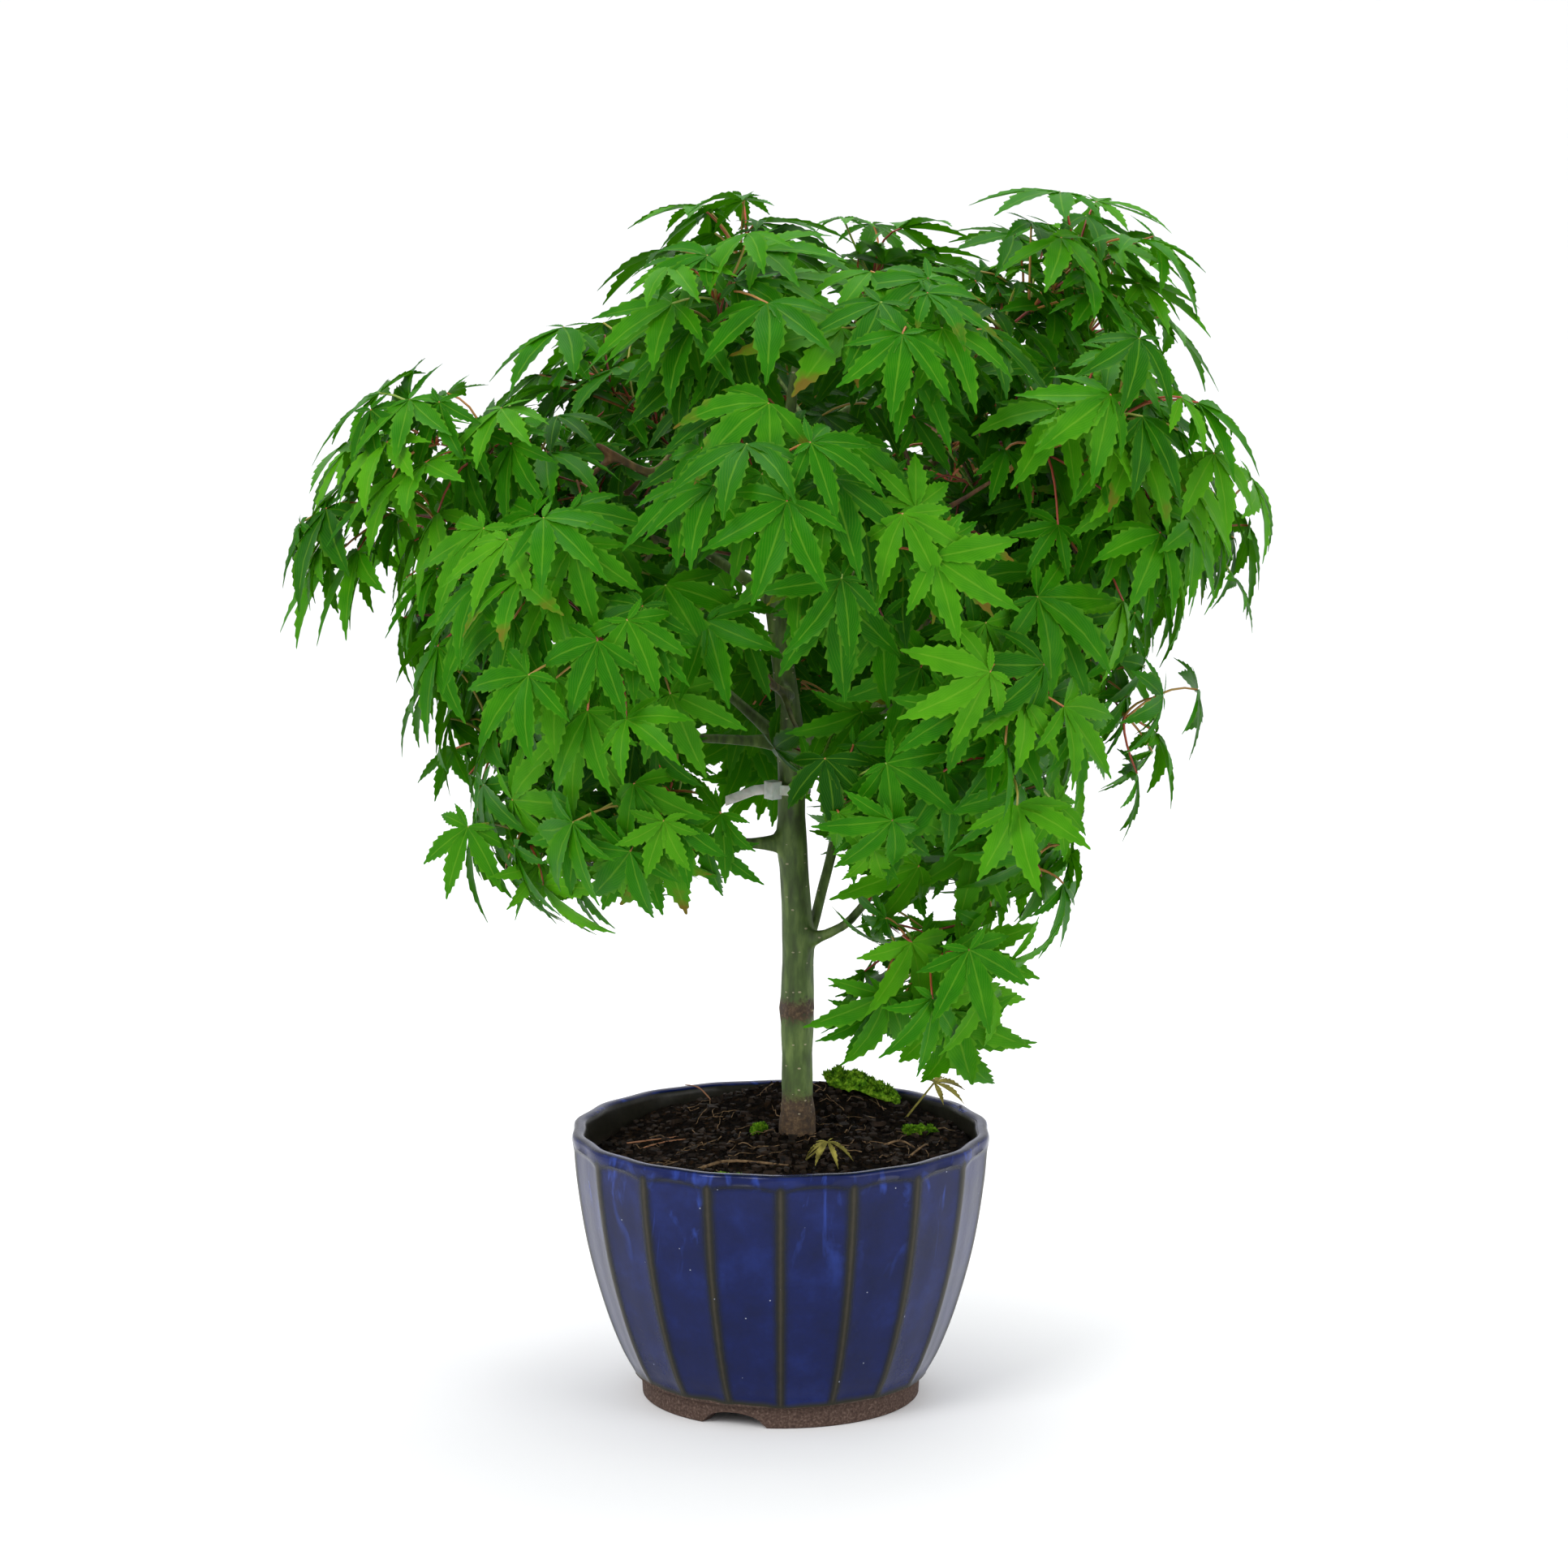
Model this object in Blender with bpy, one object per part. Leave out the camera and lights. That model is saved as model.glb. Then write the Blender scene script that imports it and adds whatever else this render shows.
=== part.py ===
"""A Japanese maple grown as a bonsai, standing in a round fluted stoneware pot with a blue glaze.

Frame: metres, +Z up, -Y is the front. The origin is the centre of the pot's foot, on the surface that it
stands on. The tree's points are written as shares of the crown: x and y run from -1 to 1 across its width
and depth, and z runs from 0 at the soil to 1 at the top of the crown.
"""

import math
import random

import bmesh
import bpy
from mathutils import Vector
from mathutils.bvhtree import BVHTree

# Pot
RIM_DIAMETER = 0.200
FOOT_DIAMETER = 0.1326
POT_HEIGHT = 0.130
FOOT_HEIGHT = 0.0108
FOOT_RING_WIDTH = 0.009
WALL = 0.0070
FLOOR = 0.0080
LIP_HEIGHT = 0.0036
LIP_SCALLOP = 0.0007
FLUTES = 18
FLUTE_DEPTH = 0.0016
DRAIN_HOLE_DIAMETER = 0.022
FOOT_NOTCHES = 3
FOOT_NOTCH_HEIGHT = 0.0070
FOOT_NOTCH_SPREAD = 26.67  # degrees
FOOT_NOTCH_TURN = -110.0  # degrees round the pot, where the first notch is

# Soil and what lies on it
SOIL_BELOW_RIM = 0.0065
GAP = 0.0003  # between pieces that touch
SOIL_WALL_GAP = 0.0006
MESH_SIDE = 0.036
MESH_THICKNESS = 0.0010

# Tree
CROWN_WIDTH = 0.470
CROWN_DEPTH = 0.430
CROWN_TOP = 0.466  # above the soil
TRUNK_DIAMETER = 0.0164
TRUNK_BURIED = 0.030
BRANCH_DIAMETER = 0.0066
SPUR_DIAMETER = 0.0030
TWIG_DIAMETER = 0.0021
PETIOLE_DIAMETER = 0.0012
LEAF_LENGTH = 0.047
PETIOLE_LENGTH = 0.024
SHOOT_LENGTH = 0.056
SHOOT_NODES = 3
NODE_SWELL = 0.0009  # half the length of twig that a group of leaves grows from
TIE_WIDTH = 0.0048
TIE_THICKNESS = 0.0012
TIE_HEAD = (0.0064, 0.0085, 0.0058)  # along the strap, across it, and through it
TIE_TAIL = 0.024
TIE_HEIGHT = 0.366  # share of the crown's height
NEEDLE_DIAMETER = 0.0011

POT_COLUMNS = FLUTES * 3
SOIL_COLUMNS = 30
SOIL_LEVEL = POT_HEIGHT - SOIL_BELOW_RIM
TRUNK_FOOT = (0.034, 0.0)

# Lines along the wood, as shares of the crown
TRUNK_LINE = [
    (0.034, 0.0, 0.0), (0.034, 0.0, 0.045), (0.033, 0.004, 0.09), (0.034, 0.006, 0.137),
    (0.034, 0.008, 0.185), (0.032, 0.010, 0.235), (0.027, 0.008, 0.285), (0.022, 0.004, 0.335),
    (0.022, -0.004, 0.39),
    (0.018, -0.012, 0.44), (0.006, -0.014, 0.49), (-0.008, -0.006, 0.54), (-0.014, 0.008, 0.59),
    (-0.008, 0.018, 0.64), (0.004, 0.020, 0.69), (0.018, 0.014, 0.74), (0.030, 0.006, 0.80),
]
TRUNK_THICKNESS = [  # shares of its diameter at the points of its line
    1.30, 1.06, 1.0, 1.17, 1.0, 0.97, 0.95, 0.91, 0.86, 0.80, 0.74, 0.66, 0.58, 0.51, 0.44, 0.37, 0.26,
]
MAIN_BRANCHES = [  # where each leaves the trunk, then its line
    (0.300, [(-0.13, -0.05, 0.312), (-0.29, -0.09, 0.302), (-0.44, -0.10, 0.288)]),
    (0.200, [(0.13, -0.05, 0.228), (0.20, -0.08, 0.275), (0.31, -0.12, 0.345)]),
    (0.222, [(0.10, 0.07, 0.285), (0.15, 0.11, 0.395), (0.26, 0.15, 0.50), (0.40, 0.17, 0.60)]),
    (0.395, [(-0.15, -0.11, 0.425), (-0.34, -0.19, 0.435), (-0.52, -0.24, 0.440)]),
    (0.425, [(-0.16, 0.07, 0.480), (-0.36, 0.11, 0.545), (-0.58, 0.10, 0.605)]),
    (0.400, [(0.19, -0.08, 0.450), (0.40, -0.14, 0.490), (0.62, -0.13, 0.515)]),
    (0.440, [(0.02, -0.20, 0.475), (-0.03, -0.42, 0.505)]),
    (0.470, [(0.02, 0.24, 0.510), (0.05, 0.47, 0.545)]),
    (0.560, [(0.17, -0.22, 0.600), (0.33, -0.40, 0.640)]),
    (0.575, [(-0.20, 0.20, 0.610), (-0.37, 0.38, 0.650)]),
    (0.625, [(0.22, 0.19, 0.660), (0.40, 0.30, 0.710)]),
    (0.640, [(-0.20, -0.17, 0.680), (-0.36, -0.26, 0.730)]),
    (0.720, [(0.20, 0.01, 0.770), (0.37, 0.00, 0.850)]),
]

# Shoots below the crown or standing out of it: where each starts, the way it grows, and how far out in
# the crown its leaves may reach, where 1 is the crown's surface
OUTER_SHOOTS = [
    ((-0.30, -0.13, 0.355), (-0.5, -0.2, -0.25), 1.25),
    ((-0.36, 0.02, 0.430), (-0.6, 0.0, -0.10), 1.02),
    ((-0.20, -0.30, 0.420), (-0.3, -0.7, -0.10), 1.2),
    ((-0.36, 0.26, 0.450), (-0.6, 0.6, -0.15), 1.2),
    ((0.17, -0.17, 0.262), (0.3, -0.3, -0.20), 2.15),
    ((0.22, 0.06, 0.335), (0.4, 0.35, -0.35), 1.5),
    ((0.34, -0.12, 0.375), (0.4, -0.3, -0.25), 1.2),
    ((0.62, 0.02, 0.600), (0.9, 0.1, 0.0), 1.06),
    ((0.06, -0.38, 0.430), (0.1, -0.8, -0.15), 1.2),
    ((0.34, -0.32, 0.460), (0.3, -0.6, -0.10), 1.2),
    ((0.02, 0.40, 0.450), (0.0, 0.8, -0.15), 1.2),
    ((0.30, 0.38, 0.480), (0.4, 0.7, -0.15), 1.2),
    ((-0.60, 0.00, 0.630), (-1.0, 0.0, 0.02), 1.08),
    ((0.44, -0.03, 0.830), (0.35, -0.1, 0.50), 1.33),
]
OPEN_LINES = [  # lines from the trunk to the front that leaves keep off, so that the tie and the trunk show
    ((-0.05, -0.12, 0.372), (-0.05, -1.0, 0.450), 0.019),
    ((0.030, -0.12, 0.300), (0.030, -1.0, 0.375), 0.014),
    ((0.030, -0.12, 0.235), (0.030, -1.0, 0.310), 0.016),
]
CROWN_SHOOTS = 29
CROWN_OFFSET = 0.040  # how far the crown's middle stands to the right of the pot's, in half widths
CROWN_MIDDLE = 0.635  # height of the crown's middle, where it is widest, as a share
CROWN_RISE = 0.295  # from there to its top
CROWN_FALL = 0.310  # from there to its underside
CROWN_LEAN = (0.115, 0.070)  # how much lower its left side is than its middle, and how much higher its right
SPIRAL_START = 1.8  # turn of the first shoot of the crown's spiral, in radians
CROWN_TUCK = 0.28  # how much narrower it is underneath
CROWN_SQUARENESS = 2.4  # 2 is an ellipsoid, more is squarer
CROWN_OUTLINE = 1.02  # how far out the other shoots' leaves may reach
SHOOT_REACH = 0.56  # where the shoots start, as a share of the way from the middle to the crown's surface
GOLDEN_ANGLE = math.pi * (3.0 - math.sqrt(5.0))
SEED = 23


def material(name, colour, roughness):
    """A plain Principled material, made once for each name."""
    found = bpy.data.materials.get(name)
    if found:
        return found
    made = bpy.data.materials.new(name)
    made.use_nodes = True
    shader = made.node_tree.nodes["Principled BSDF"]
    shader.inputs["Base Color"].default_value = (*colour, 1.0)
    shader.inputs["Roughness"].default_value = roughness
    made.diffuse_color = (*colour, 1.0)
    return made


def add_object(name, verts, faces, finish, sharp_above=None):
    """One named object from points and faces; sharp_above is the angle above which an edge stays sharp."""
    mesh = bpy.data.meshes.new(name)
    mesh.from_pydata([tuple(v) for v in verts], [], faces)
    mesh.materials.append(finish)
    mesh.validate()
    if sharp_above is not None:
        mesh.shade_smooth()
        mesh.set_sharp_from_angle(angle=math.radians(sharp_above))
    thing = bpy.data.objects.new(name, mesh)
    bpy.context.scene.collection.objects.link(thing)
    return thing


def along(table, value):
    """Reads the second column of a rising table at a value of the first, in straight lines."""
    for (a, b), (c, d) in zip(table, table[1:]):
        if value <= c:
            share = (value - a) / (c - a) if c > a else 0.0
            return b + (d - b) * max(0.0, share)
    return table[-1][1]


def crown_point(x, y, z):
    """A point of the tree from its shares of the crown."""
    return Vector((x * CROWN_WIDTH / 2, y * CROWN_DEPTH / 2, SOIL_LEVEL + z * CROWN_TOP))


# ---------------------------------------------------------------------------------------------- the pot


def body_radius(height):
    """The outer radius of the pot's body at a height, on the ridges between its flutes."""
    rim = RIM_DIAMETER / 2
    foot = FOOT_DIAMETER / 2
    bulge = [(0.0, 0.10), (0.11, 0.31), (0.29, 0.55), (0.54, 0.79), (0.80, 0.94), (1.0, 1.0)]
    share = (height - FOOT_HEIGHT) / (POT_HEIGHT - FOOT_HEIGHT)
    return foot + (rim - foot) * along(bulge, share)


def inner_radius(height):
    """The inner radius of the pot's wall at a height."""
    return body_radius(height) - WALL


def floor_top():
    """The height of the pot's floor, inside."""
    return FOOT_HEIGHT + FLOOR


def wall_heights():
    """Heights of the rows of points up the pot's wall."""
    low = FOOT_HEIGHT + 0.0010
    high = POT_HEIGHT - LIP_HEIGHT
    return [low + (high - low) * share for share in (0.0, 0.14, 0.36, 0.65, 0.90, 0.97)]


def flute_depth(turn, height):
    """How deep the flutes are cut at an angle and a height; they run out below the lip and at the foot."""
    flute = (turn + math.pi / 2) / (2 * math.pi) * FLUTES
    across = abs((flute + 0.5) % 1.0 - 0.5) * 2.0  # 0 on a ridge, 1 in the middle of a flute
    low = wall_heights()[0]
    high = POT_HEIGHT - LIP_HEIGHT
    share = (height - low) / (high - low)
    fade = min(1.0, (1.0 - share) / 0.10) if share > 0.90 else 1.0
    return FLUTE_DEPTH * (1.0 - (1.0 - across) ** 2) * max(0.0, fade)


def scallop(turn):
    """How far the lip draws in over the middle of a flute."""
    return LIP_SCALLOP * (0.5 - 0.5 * math.cos((turn + math.pi / 2) * FLUTES))


def notch_lift(turn):
    """How far the foot ring is lifted off the surface at an angle, by its drainage notches."""
    spacing = 2 * math.pi / FOOT_NOTCHES
    away = (turn - math.radians(FOOT_NOTCH_TURN) + spacing / 2) % spacing - spacing / 2
    half_width = math.radians(FOOT_NOTCH_SPREAD / 2)
    return FOOT_NOTCH_HEIGHT * math.sqrt(max(0.0, 1.0 - (away / half_width) ** 2))


def pot_rows():
    """The rows of the pot's section, each a function of the angle that gives a radius and a height."""
    foot = FOOT_DIAMETER / 2
    rim = RIM_DIAMETER / 2
    inner_foot = foot - FOOT_RING_WIDTH
    floor_edge = inner_radius(floor_top() + 0.006) - 0.006
    hole = DRAIN_HOLE_DIAMETER / 2
    rows = [
        lambda t: (foot, notch_lift(t)),
        lambda t: (foot + 0.0008, FOOT_HEIGHT),
    ]
    for height in wall_heights():
        rows.append(lambda t, h=height: (body_radius(h) - flute_depth(t, h), h))
    rows += [
        lambda t: (rim - scallop(t), POT_HEIGHT - LIP_HEIGHT * 0.6),
        lambda t: (rim - WALL * 0.30 - scallop(t), POT_HEIGHT),
        lambda t: (rim - WALL * 0.75, POT_HEIGHT - 0.0004),
    ]
    for height in reversed(wall_heights()[1:5]):
        rows.append(lambda t, h=height: (inner_radius(h), h))
    rows += [
        lambda t: (floor_edge, floor_top()),
        lambda t: (hole, floor_top()),
        lambda t: (hole, FOOT_HEIGHT),
        lambda t: (inner_foot - 0.001, FOOT_HEIGHT),
        lambda t: (inner_foot, notch_lift(t)),
    ]
    return rows


def build_pot():
    """The pot: one fired piece with flutes, a foot ring with drainage notches and a drain hole."""
    turns = [2 * math.pi * i / POT_COLUMNS - math.pi / 2 for i in range(POT_COLUMNS)]
    rows = pot_rows()
    verts = []
    for row in rows:
        for turn in turns:
            radius, height = row(turn)
            verts.append((radius * math.cos(turn), radius * math.sin(turn), height))
    faces = []
    for r in range(len(rows)):
        low = r * POT_COLUMNS
        high = (r + 1) % len(rows) * POT_COLUMNS
        for c in range(POT_COLUMNS):
            d = (c + 1) % POT_COLUMNS
            faces.append((low + c, low + d, high + d, high + c))
    glaze = material("blue_glaze", (0.020, 0.035, 0.16), 0.15)
    return add_object("pot", verts, faces, glaze, sharp_above=35)


# ------------------------------------------------------------------------------------- soil and drainage


def soil_height(x, y):
    """The height of the soil's surface: mounded behind and round the trunk, and low at the left."""
    reach = RIM_DIAMETER / 2
    u = x / reach
    v = y / reach
    back = 0.0145 * math.exp(-(((u - 0.10) / 0.40) ** 2 + ((v - 0.60) / 0.26) ** 2))
    left = 0.0100 * math.exp(-(((u + 0.80) / 0.28) ** 2 + ((v - 0.05) / 0.55) ** 2))
    trunk = 0.0050 * math.exp(-(((u - 0.08) / 0.30) ** 2 + (v / 0.30) ** 2))
    lumps = 0.0007 * math.sin(9.0 * u + 1.3) * math.cos(8.0 * v)
    return SOIL_LEVEL - 0.002 + back - left + trunk + lumps


def socket_radius():
    """The radius of the hole in the soil that the trunk's foot stands in."""
    return TRUNK_DIAMETER / 2 * TRUNK_THICKNESS[0] + GAP


def build_soil():
    """The soil: fills the pot down to its floor, with a socket for the trunk's foot."""
    columns = SOIL_COLUMNS
    foot = crown_point(*TRUNK_FOOT, 0.0)
    rings = []

    def circle(centre, radius, height):
        ring = []
        for i in range(columns):
            turn = 2 * math.pi * i / columns
            x = centre[0] + radius * math.cos(turn)
            y = centre[1] + radius * math.sin(turn)
            ring.append((x, y, height if height is not None else soil_height(x, y)))
        return ring

    socket = socket_radius()
    rings.append(circle(foot, socket * 0.9, SOIL_LEVEL - TRUNK_BURIED - GAP))
    rings.append(circle(foot, socket, None))
    wall = inner_radius(SOIL_LEVEL) - SOIL_WALL_GAP
    for share in (0.22, 0.46, 0.72):
        centre = (foot.x * (1 - share), foot.y * (1 - share))
        rings.append(circle(centre, socket + (wall - socket) * share, None))
    edge = []
    for x, y, _ in circle((0, 0), wall, 0.0):
        height = soil_height(x, y)
        scale = (inner_radius(height) - SOIL_WALL_GAP) / wall
        edge.append((x * scale, y * scale, height))
    rings.append(edge)
    for height in reversed(wall_heights()[1:5]):
        rings.append(circle((0, 0), inner_radius(height) - SOIL_WALL_GAP, height))
    floor_edge = inner_radius(floor_top() + 0.006) - 0.006 - SOIL_WALL_GAP
    recess = MESH_SIDE * math.sqrt(0.5) + 0.0015
    rings.append(circle((0, 0), floor_edge, floor_top() + GAP))
    rings.append(circle((0, 0), recess, floor_top() + GAP))
    rings.append(circle((0, 0), recess - 0.0003, floor_top() + MESH_THICKNESS + 2 * GAP))
    verts = [point for ring in rings for point in ring]
    faces = [tuple(range(columns))]
    for r in range(len(rings) - 1):
        for c in range(columns):
            d = (c + 1) % columns
            faces.append((r * columns + d, r * columns + c, (r + 1) * columns + c))
            faces.append((r * columns + d, (r + 1) * columns + c, (r + 1) * columns + d))
    last = (len(rings) - 1) * columns
    faces.append(tuple(last + c for c in reversed(range(columns))))
    soil = material("peat_soil", (0.022, 0.014, 0.008), 0.95)
    return add_object("soil", verts, faces, soil, sharp_above=50)


def build_drainage_mesh():
    """The plastic mesh that lies over the drain hole, under the soil."""
    openings = 4
    bar = 0.0020
    opening = (MESH_SIDE - bar * (openings + 1)) / openings
    lines = [-MESH_SIDE / 2]
    for i in range(openings):
        lines.append(lines[-1] + bar)
        lines.append(lines[-1] + opening)
    lines.append(lines[-1] + bar)
    count = len(lines)
    low = floor_top() + GAP
    shape = bmesh.new()
    points = [[shape.verts.new((x, y, low)) for y in lines] for x in lines]
    cells = []
    for i in range(count - 1):
        for j in range(count - 1):
            if i % 2 == 1 and j % 2 == 1:
                continue
            corners = (points[i][j], points[i + 1][j], points[i + 1][j + 1], points[i][j + 1])
            cells.append(shape.faces.new(corners))
    made = bmesh.ops.extrude_face_region(shape, geom=cells, use_keep_orig=True)
    raised = [part for part in made["geom"] if isinstance(part, bmesh.types.BMVert)]
    bmesh.ops.translate(shape, verts=raised, vec=(0, 0, MESH_THICKNESS))
    bmesh.ops.recalc_face_normals(shape, faces=shape.faces)
    mesh = bpy.data.meshes.new("drainage_mesh")
    shape.to_mesh(mesh)
    shape.free()
    mesh.materials.append(material("black_plastic", (0.012, 0.012, 0.012), 0.5))
    thing = bpy.data.objects.new("drainage_mesh", mesh)
    bpy.context.scene.collection.objects.link(thing)
    return thing


# ------------------------------------------------------------------------------------ growing wood and leaves


class Space:
    """The room already taken, kept as small search trees, so that what grows later stays clear of it."""

    def __init__(self):
        self.taken = []

    @staticmethod
    def ball(verts):
        """The middle and radius of a ball round some points."""
        middle = sum(verts, Vector()) / len(verts)
        return middle, max((v - middle).length for v in verts)

    def add(self, verts, faces, owner=None):
        """Takes the room of a shape, which may belong to a named owner."""
        self.taken.append((*self.ball(verts), BVHTree.FromPolygons(verts, faces), owner))

    def is_free(self, verts, faces, but=None):
        """Whether a shape would cross nothing that is already there, apart from what one owner holds."""
        middle, radius = self.ball(verts)
        tree = None
        for other_middle, other_radius, other_tree, owner in self.taken:
            if but is not None and owner == but:
                continue
            if (middle - other_middle).length > radius + other_radius:
                continue
            tree = tree or BVHTree.FromPolygons(verts, faces)
            if tree.overlap(other_tree):
                return False
        return True


class Body:
    """The points and faces of one closed piece while it grows."""

    def __init__(self):
        self.verts = []
        self.faces = []
        self.slots = []

    def add_ring(self, points):
        """Adds points and returns their numbers."""
        start = len(self.verts)
        self.verts += [Vector(p) for p in points]
        return list(range(start, start + len(points)))

    def add_tube(self, ring, path, radii, cap=True):
        """Grows a tube from a ring of points along a path; its side faces become slots for branches."""
        slots = []
        count = len(ring)
        side = None
        for j, (point, radius) in enumerate(zip(path, radii)):
            before = path[j - 1] if j else sum((self.verts[k] for k in ring), Vector()) / count
            after = path[j + 1] if j + 1 < len(path) else None
            way = (point - before).normalized()
            if after is not None:
                way = (way + (after - point).normalized()).normalized()
            if side is None:
                side = best_side(way, [self.verts[k] - before for k in ring])
            side = (side - way * side.dot(way)).normalized()
            new_ring = self.add_ring(circle_points(point, way, side, radius, count))
            for k in range(count):
                m = (k + 1) % count
                slots.append(Slot(self, (ring[k], ring[m], new_ring[m], new_ring[k]), j))
            ring = new_ring
        if cap:
            self.faces.append(tuple(ring))
        self.slots += slots
        return ring, slots

    def close(self):
        """Turns every slot that grew no branch into a plain face."""
        for slot in self.slots:
            if not slot.used:
                self.faces.append(slot.corners)


class Slot:
    """A side face of a tube, which a branch or a leaf stalk can grow from."""

    def __init__(self, body, corners, step):
        self.body = body
        self.corners = corners
        self.step = step
        self.used = False
        points = [body.verts[k] for k in corners]
        self.middle = sum(points, Vector()) / 4
        self.normal = (points[2] - points[0]).cross(points[3] - points[1]).normalized()


def circle_points(middle, way, side, radius, count):
    """Points round a middle, square to way, starting on the side given and turning left about way."""
    other = way.cross(side)
    points = []
    for k in range(count):
        turn = 2 * math.pi * k / count
        points.append(middle + radius * (side * math.cos(turn) + other * math.sin(turn)))
    return points


def best_side(way, offsets):
    """The direction of the first point of a ring that follows the given corners with the least twist."""
    base = way.orthogonal().normalized()
    other = way.cross(base)
    x = 0.0
    y = 0.0
    for k, offset in enumerate(offsets):
        turn = math.atan2(offset.dot(other), offset.dot(base)) - 2 * math.pi * k / len(offsets)
        x += math.cos(turn)
        y += math.sin(turn)
    turn = math.atan2(y, x)
    return base * math.cos(turn) + other * math.sin(turn)


def tube_shell(path, radius, count=4):
    """A plain tube along a path, for testing whether there is room for it."""
    verts = []
    faces = []
    for j, point in enumerate(path):
        before = path[max(0, j - 1)]
        after = path[min(len(path) - 1, j + 1)]
        way = (after - before).normalized()
        verts += circle_points(point, way, way.orthogonal().normalized(), radius, count)
    for j in range(len(path) - 1):
        for k in range(count):
            m = (k + 1) % count
            faces.append((j * count + k, j * count + m, (j + 1) * count + m, (j + 1) * count + k))
    return verts, faces


def smooth_line(points, steps):
    """Points along a smooth curve through the points given, with some steps in each stretch."""
    line = []
    for i in range(len(points) - 1):
        p0 = points[max(0, i - 1)]
        p1 = points[i]
        p2 = points[i + 1]
        p3 = points[min(len(points) - 1, i + 2)]
        for s in range(steps):
            t = s / steps
            line.append(
                0.5 * ((2 * p1) + (p2 - p0) * t + (2 * p0 - 5 * p1 + 4 * p2 - p3) * t * t
                       + (3 * p1 - p0 - 3 * p2 + p3) * t ** 3)
            )
    line.append(points[-1].copy())
    return line


# Lobes of a leaf from its left to its right: angle from the middle lobe, and length as a share of its length
LOBES = [(86, 0.62), (44, 0.90), (0, 1.0), (-44, 0.90), (-86, 0.62)]
VALLEYS = [(65, 0.28), (22, 0.31), (-22, 0.31), (-65, 0.28)]
STALK_FREE = 0.14  # share of a stalk, next to its twig, that may lie close to the stalks beside it
BLADE_THICKNESS = 0.0011  # at the leaf's hub, running out to nothing at its edge


class Leaf:
    """One leaf: where its stalk starts, where its blade's hub is, and the way the blade lies."""

    def __init__(self, start, hub, axis, normal, length, droop):
        self.start = start
        self.hub = hub
        self.axis = axis
        self.normal = normal
        self.length = length
        self.droop = droop

    def toward(self, angle, share, extra_droop=0.0):
        """A point of the blade at an angle from its middle lobe and a share of its length."""
        left = self.axis.cross(self.normal)
        turn = math.radians(angle)
        way = self.axis * math.cos(turn) + left * math.sin(turn)
        fall = self.droop + extra_droop
        return self.hub + share * self.length * (way * math.cos(fall) - self.normal * math.sin(fall))

    def outline(self):
        """The tips and valleys of the blade from its left to its right."""
        points = []
        for i, (angle, share) in enumerate(LOBES):
            points.append(self.toward(angle, share, 0.10 if abs(angle) > 60 else 0.0))
            if i < len(VALLEYS):
                points.append(self.toward(*VALLEYS[i], -0.25))
        return points

    def hub_ring(self, thickness=BLADE_THICKNESS):
        """The four points where the stalk meets the blade: top, left, bottom and right."""
        left = self.axis.cross(self.normal)
        back = self.hub - self.axis * 0.0010
        half = thickness / 2
        return [
            self.hub + self.normal * half,
            back + left * PETIOLE_DIAMETER * 0.7,
            self.hub - self.normal * half,
            back - left * PETIOLE_DIAMETER * 0.7,
        ]

    def blade_faces(self, ring, outline):
        """The faces of the blade from the numbers of its hub ring and its outline."""
        top, left, bottom, right = ring
        edge = [left, *outline, right]
        faces = []
        for a, b in zip(edge, edge[1:]):
            faces.append((top, a, b))
            faces.append((bottom, b, a))
        return faces

    def shell(self, from_share, room=0.0009):
        """The leaf with some room round it, its stalk from a share of its length, to test for crossings."""
        verts = self.hub_ring(BLADE_THICKNESS + room) + self.outline()
        faces = self.blade_faces((0, 1, 2, 3), range(4, len(verts)))
        stalk_start = self.start.lerp(self.hub, from_share)
        stalk_end = self.start.lerp(self.hub, 0.93)
        stalk, sides = tube_shell([stalk_start, stalk_end], PETIOLE_DIAMETER / 2 + room / 4)
        offset = len(verts)
        verts += stalk
        faces += [tuple(offset + k for k in face) for face in sides]
        return verts, faces

    def grow(self, slot):
        """Grows the leaf out of a side face of its twig."""
        body = slot.body
        slot.used = True
        start = list(slot.corners)
        ring = self.hub_ring()
        first = [body.verts[k] - slot.middle for k in start]
        shift = max(range(4), key=lambda s: sum(first[k].dot(ring[(k + s) % 4] - self.hub) for k in range(4)))
        top = body.add_ring(ring)
        turned = [top[(k + shift) % 4] for k in range(4)]
        for k in range(4):
            m = (k + 1) % 4
            body.faces.append((start[k], start[m], turned[m], turned[k]))
        outline = body.add_ring(self.outline())
        body.faces += self.blade_faces(top, outline)


def crown_lean(x):
    """How much higher the crown is at a share of its half width than at its middle."""
    return x * CROWN_LEAN[0 if x < 0 else 1]


def crown_place(point):
    """A point's place in the crown as shares of its half width, half depth and its rise or fall."""
    x = point.x / (CROWN_WIDTH / 2) - CROWN_OFFSET
    y = point.y / (CROWN_DEPTH / 2)
    z = (point.z - SOIL_LEVEL) / CROWN_TOP - CROWN_MIDDLE - crown_lean(x)
    z /= CROWN_RISE if z > 0 else CROWN_FALL
    narrowing = 1.0 + CROWN_TUCK * max(0.0, -z)
    return Vector((x * narrowing, y * narrowing, z))


def crown_share(point):
    """How far out in the crown a point is: 0 at its middle and 1 on its surface."""
    return sum(abs(part) ** CROWN_SQUARENESS for part in crown_place(point)) ** (1 / CROWN_SQUARENESS)


def outward(point):
    """The direction away from the crown's middle at a point of the tree."""
    return crown_place(point).normalized()


def random_unit(rng):
    """A random direction."""
    z = rng.uniform(-1, 1)
    turn = rng.uniform(0, 2 * math.pi)
    flat = math.sqrt(1 - z * z)
    return Vector((flat * math.cos(turn), flat * math.sin(turn), z))


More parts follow.
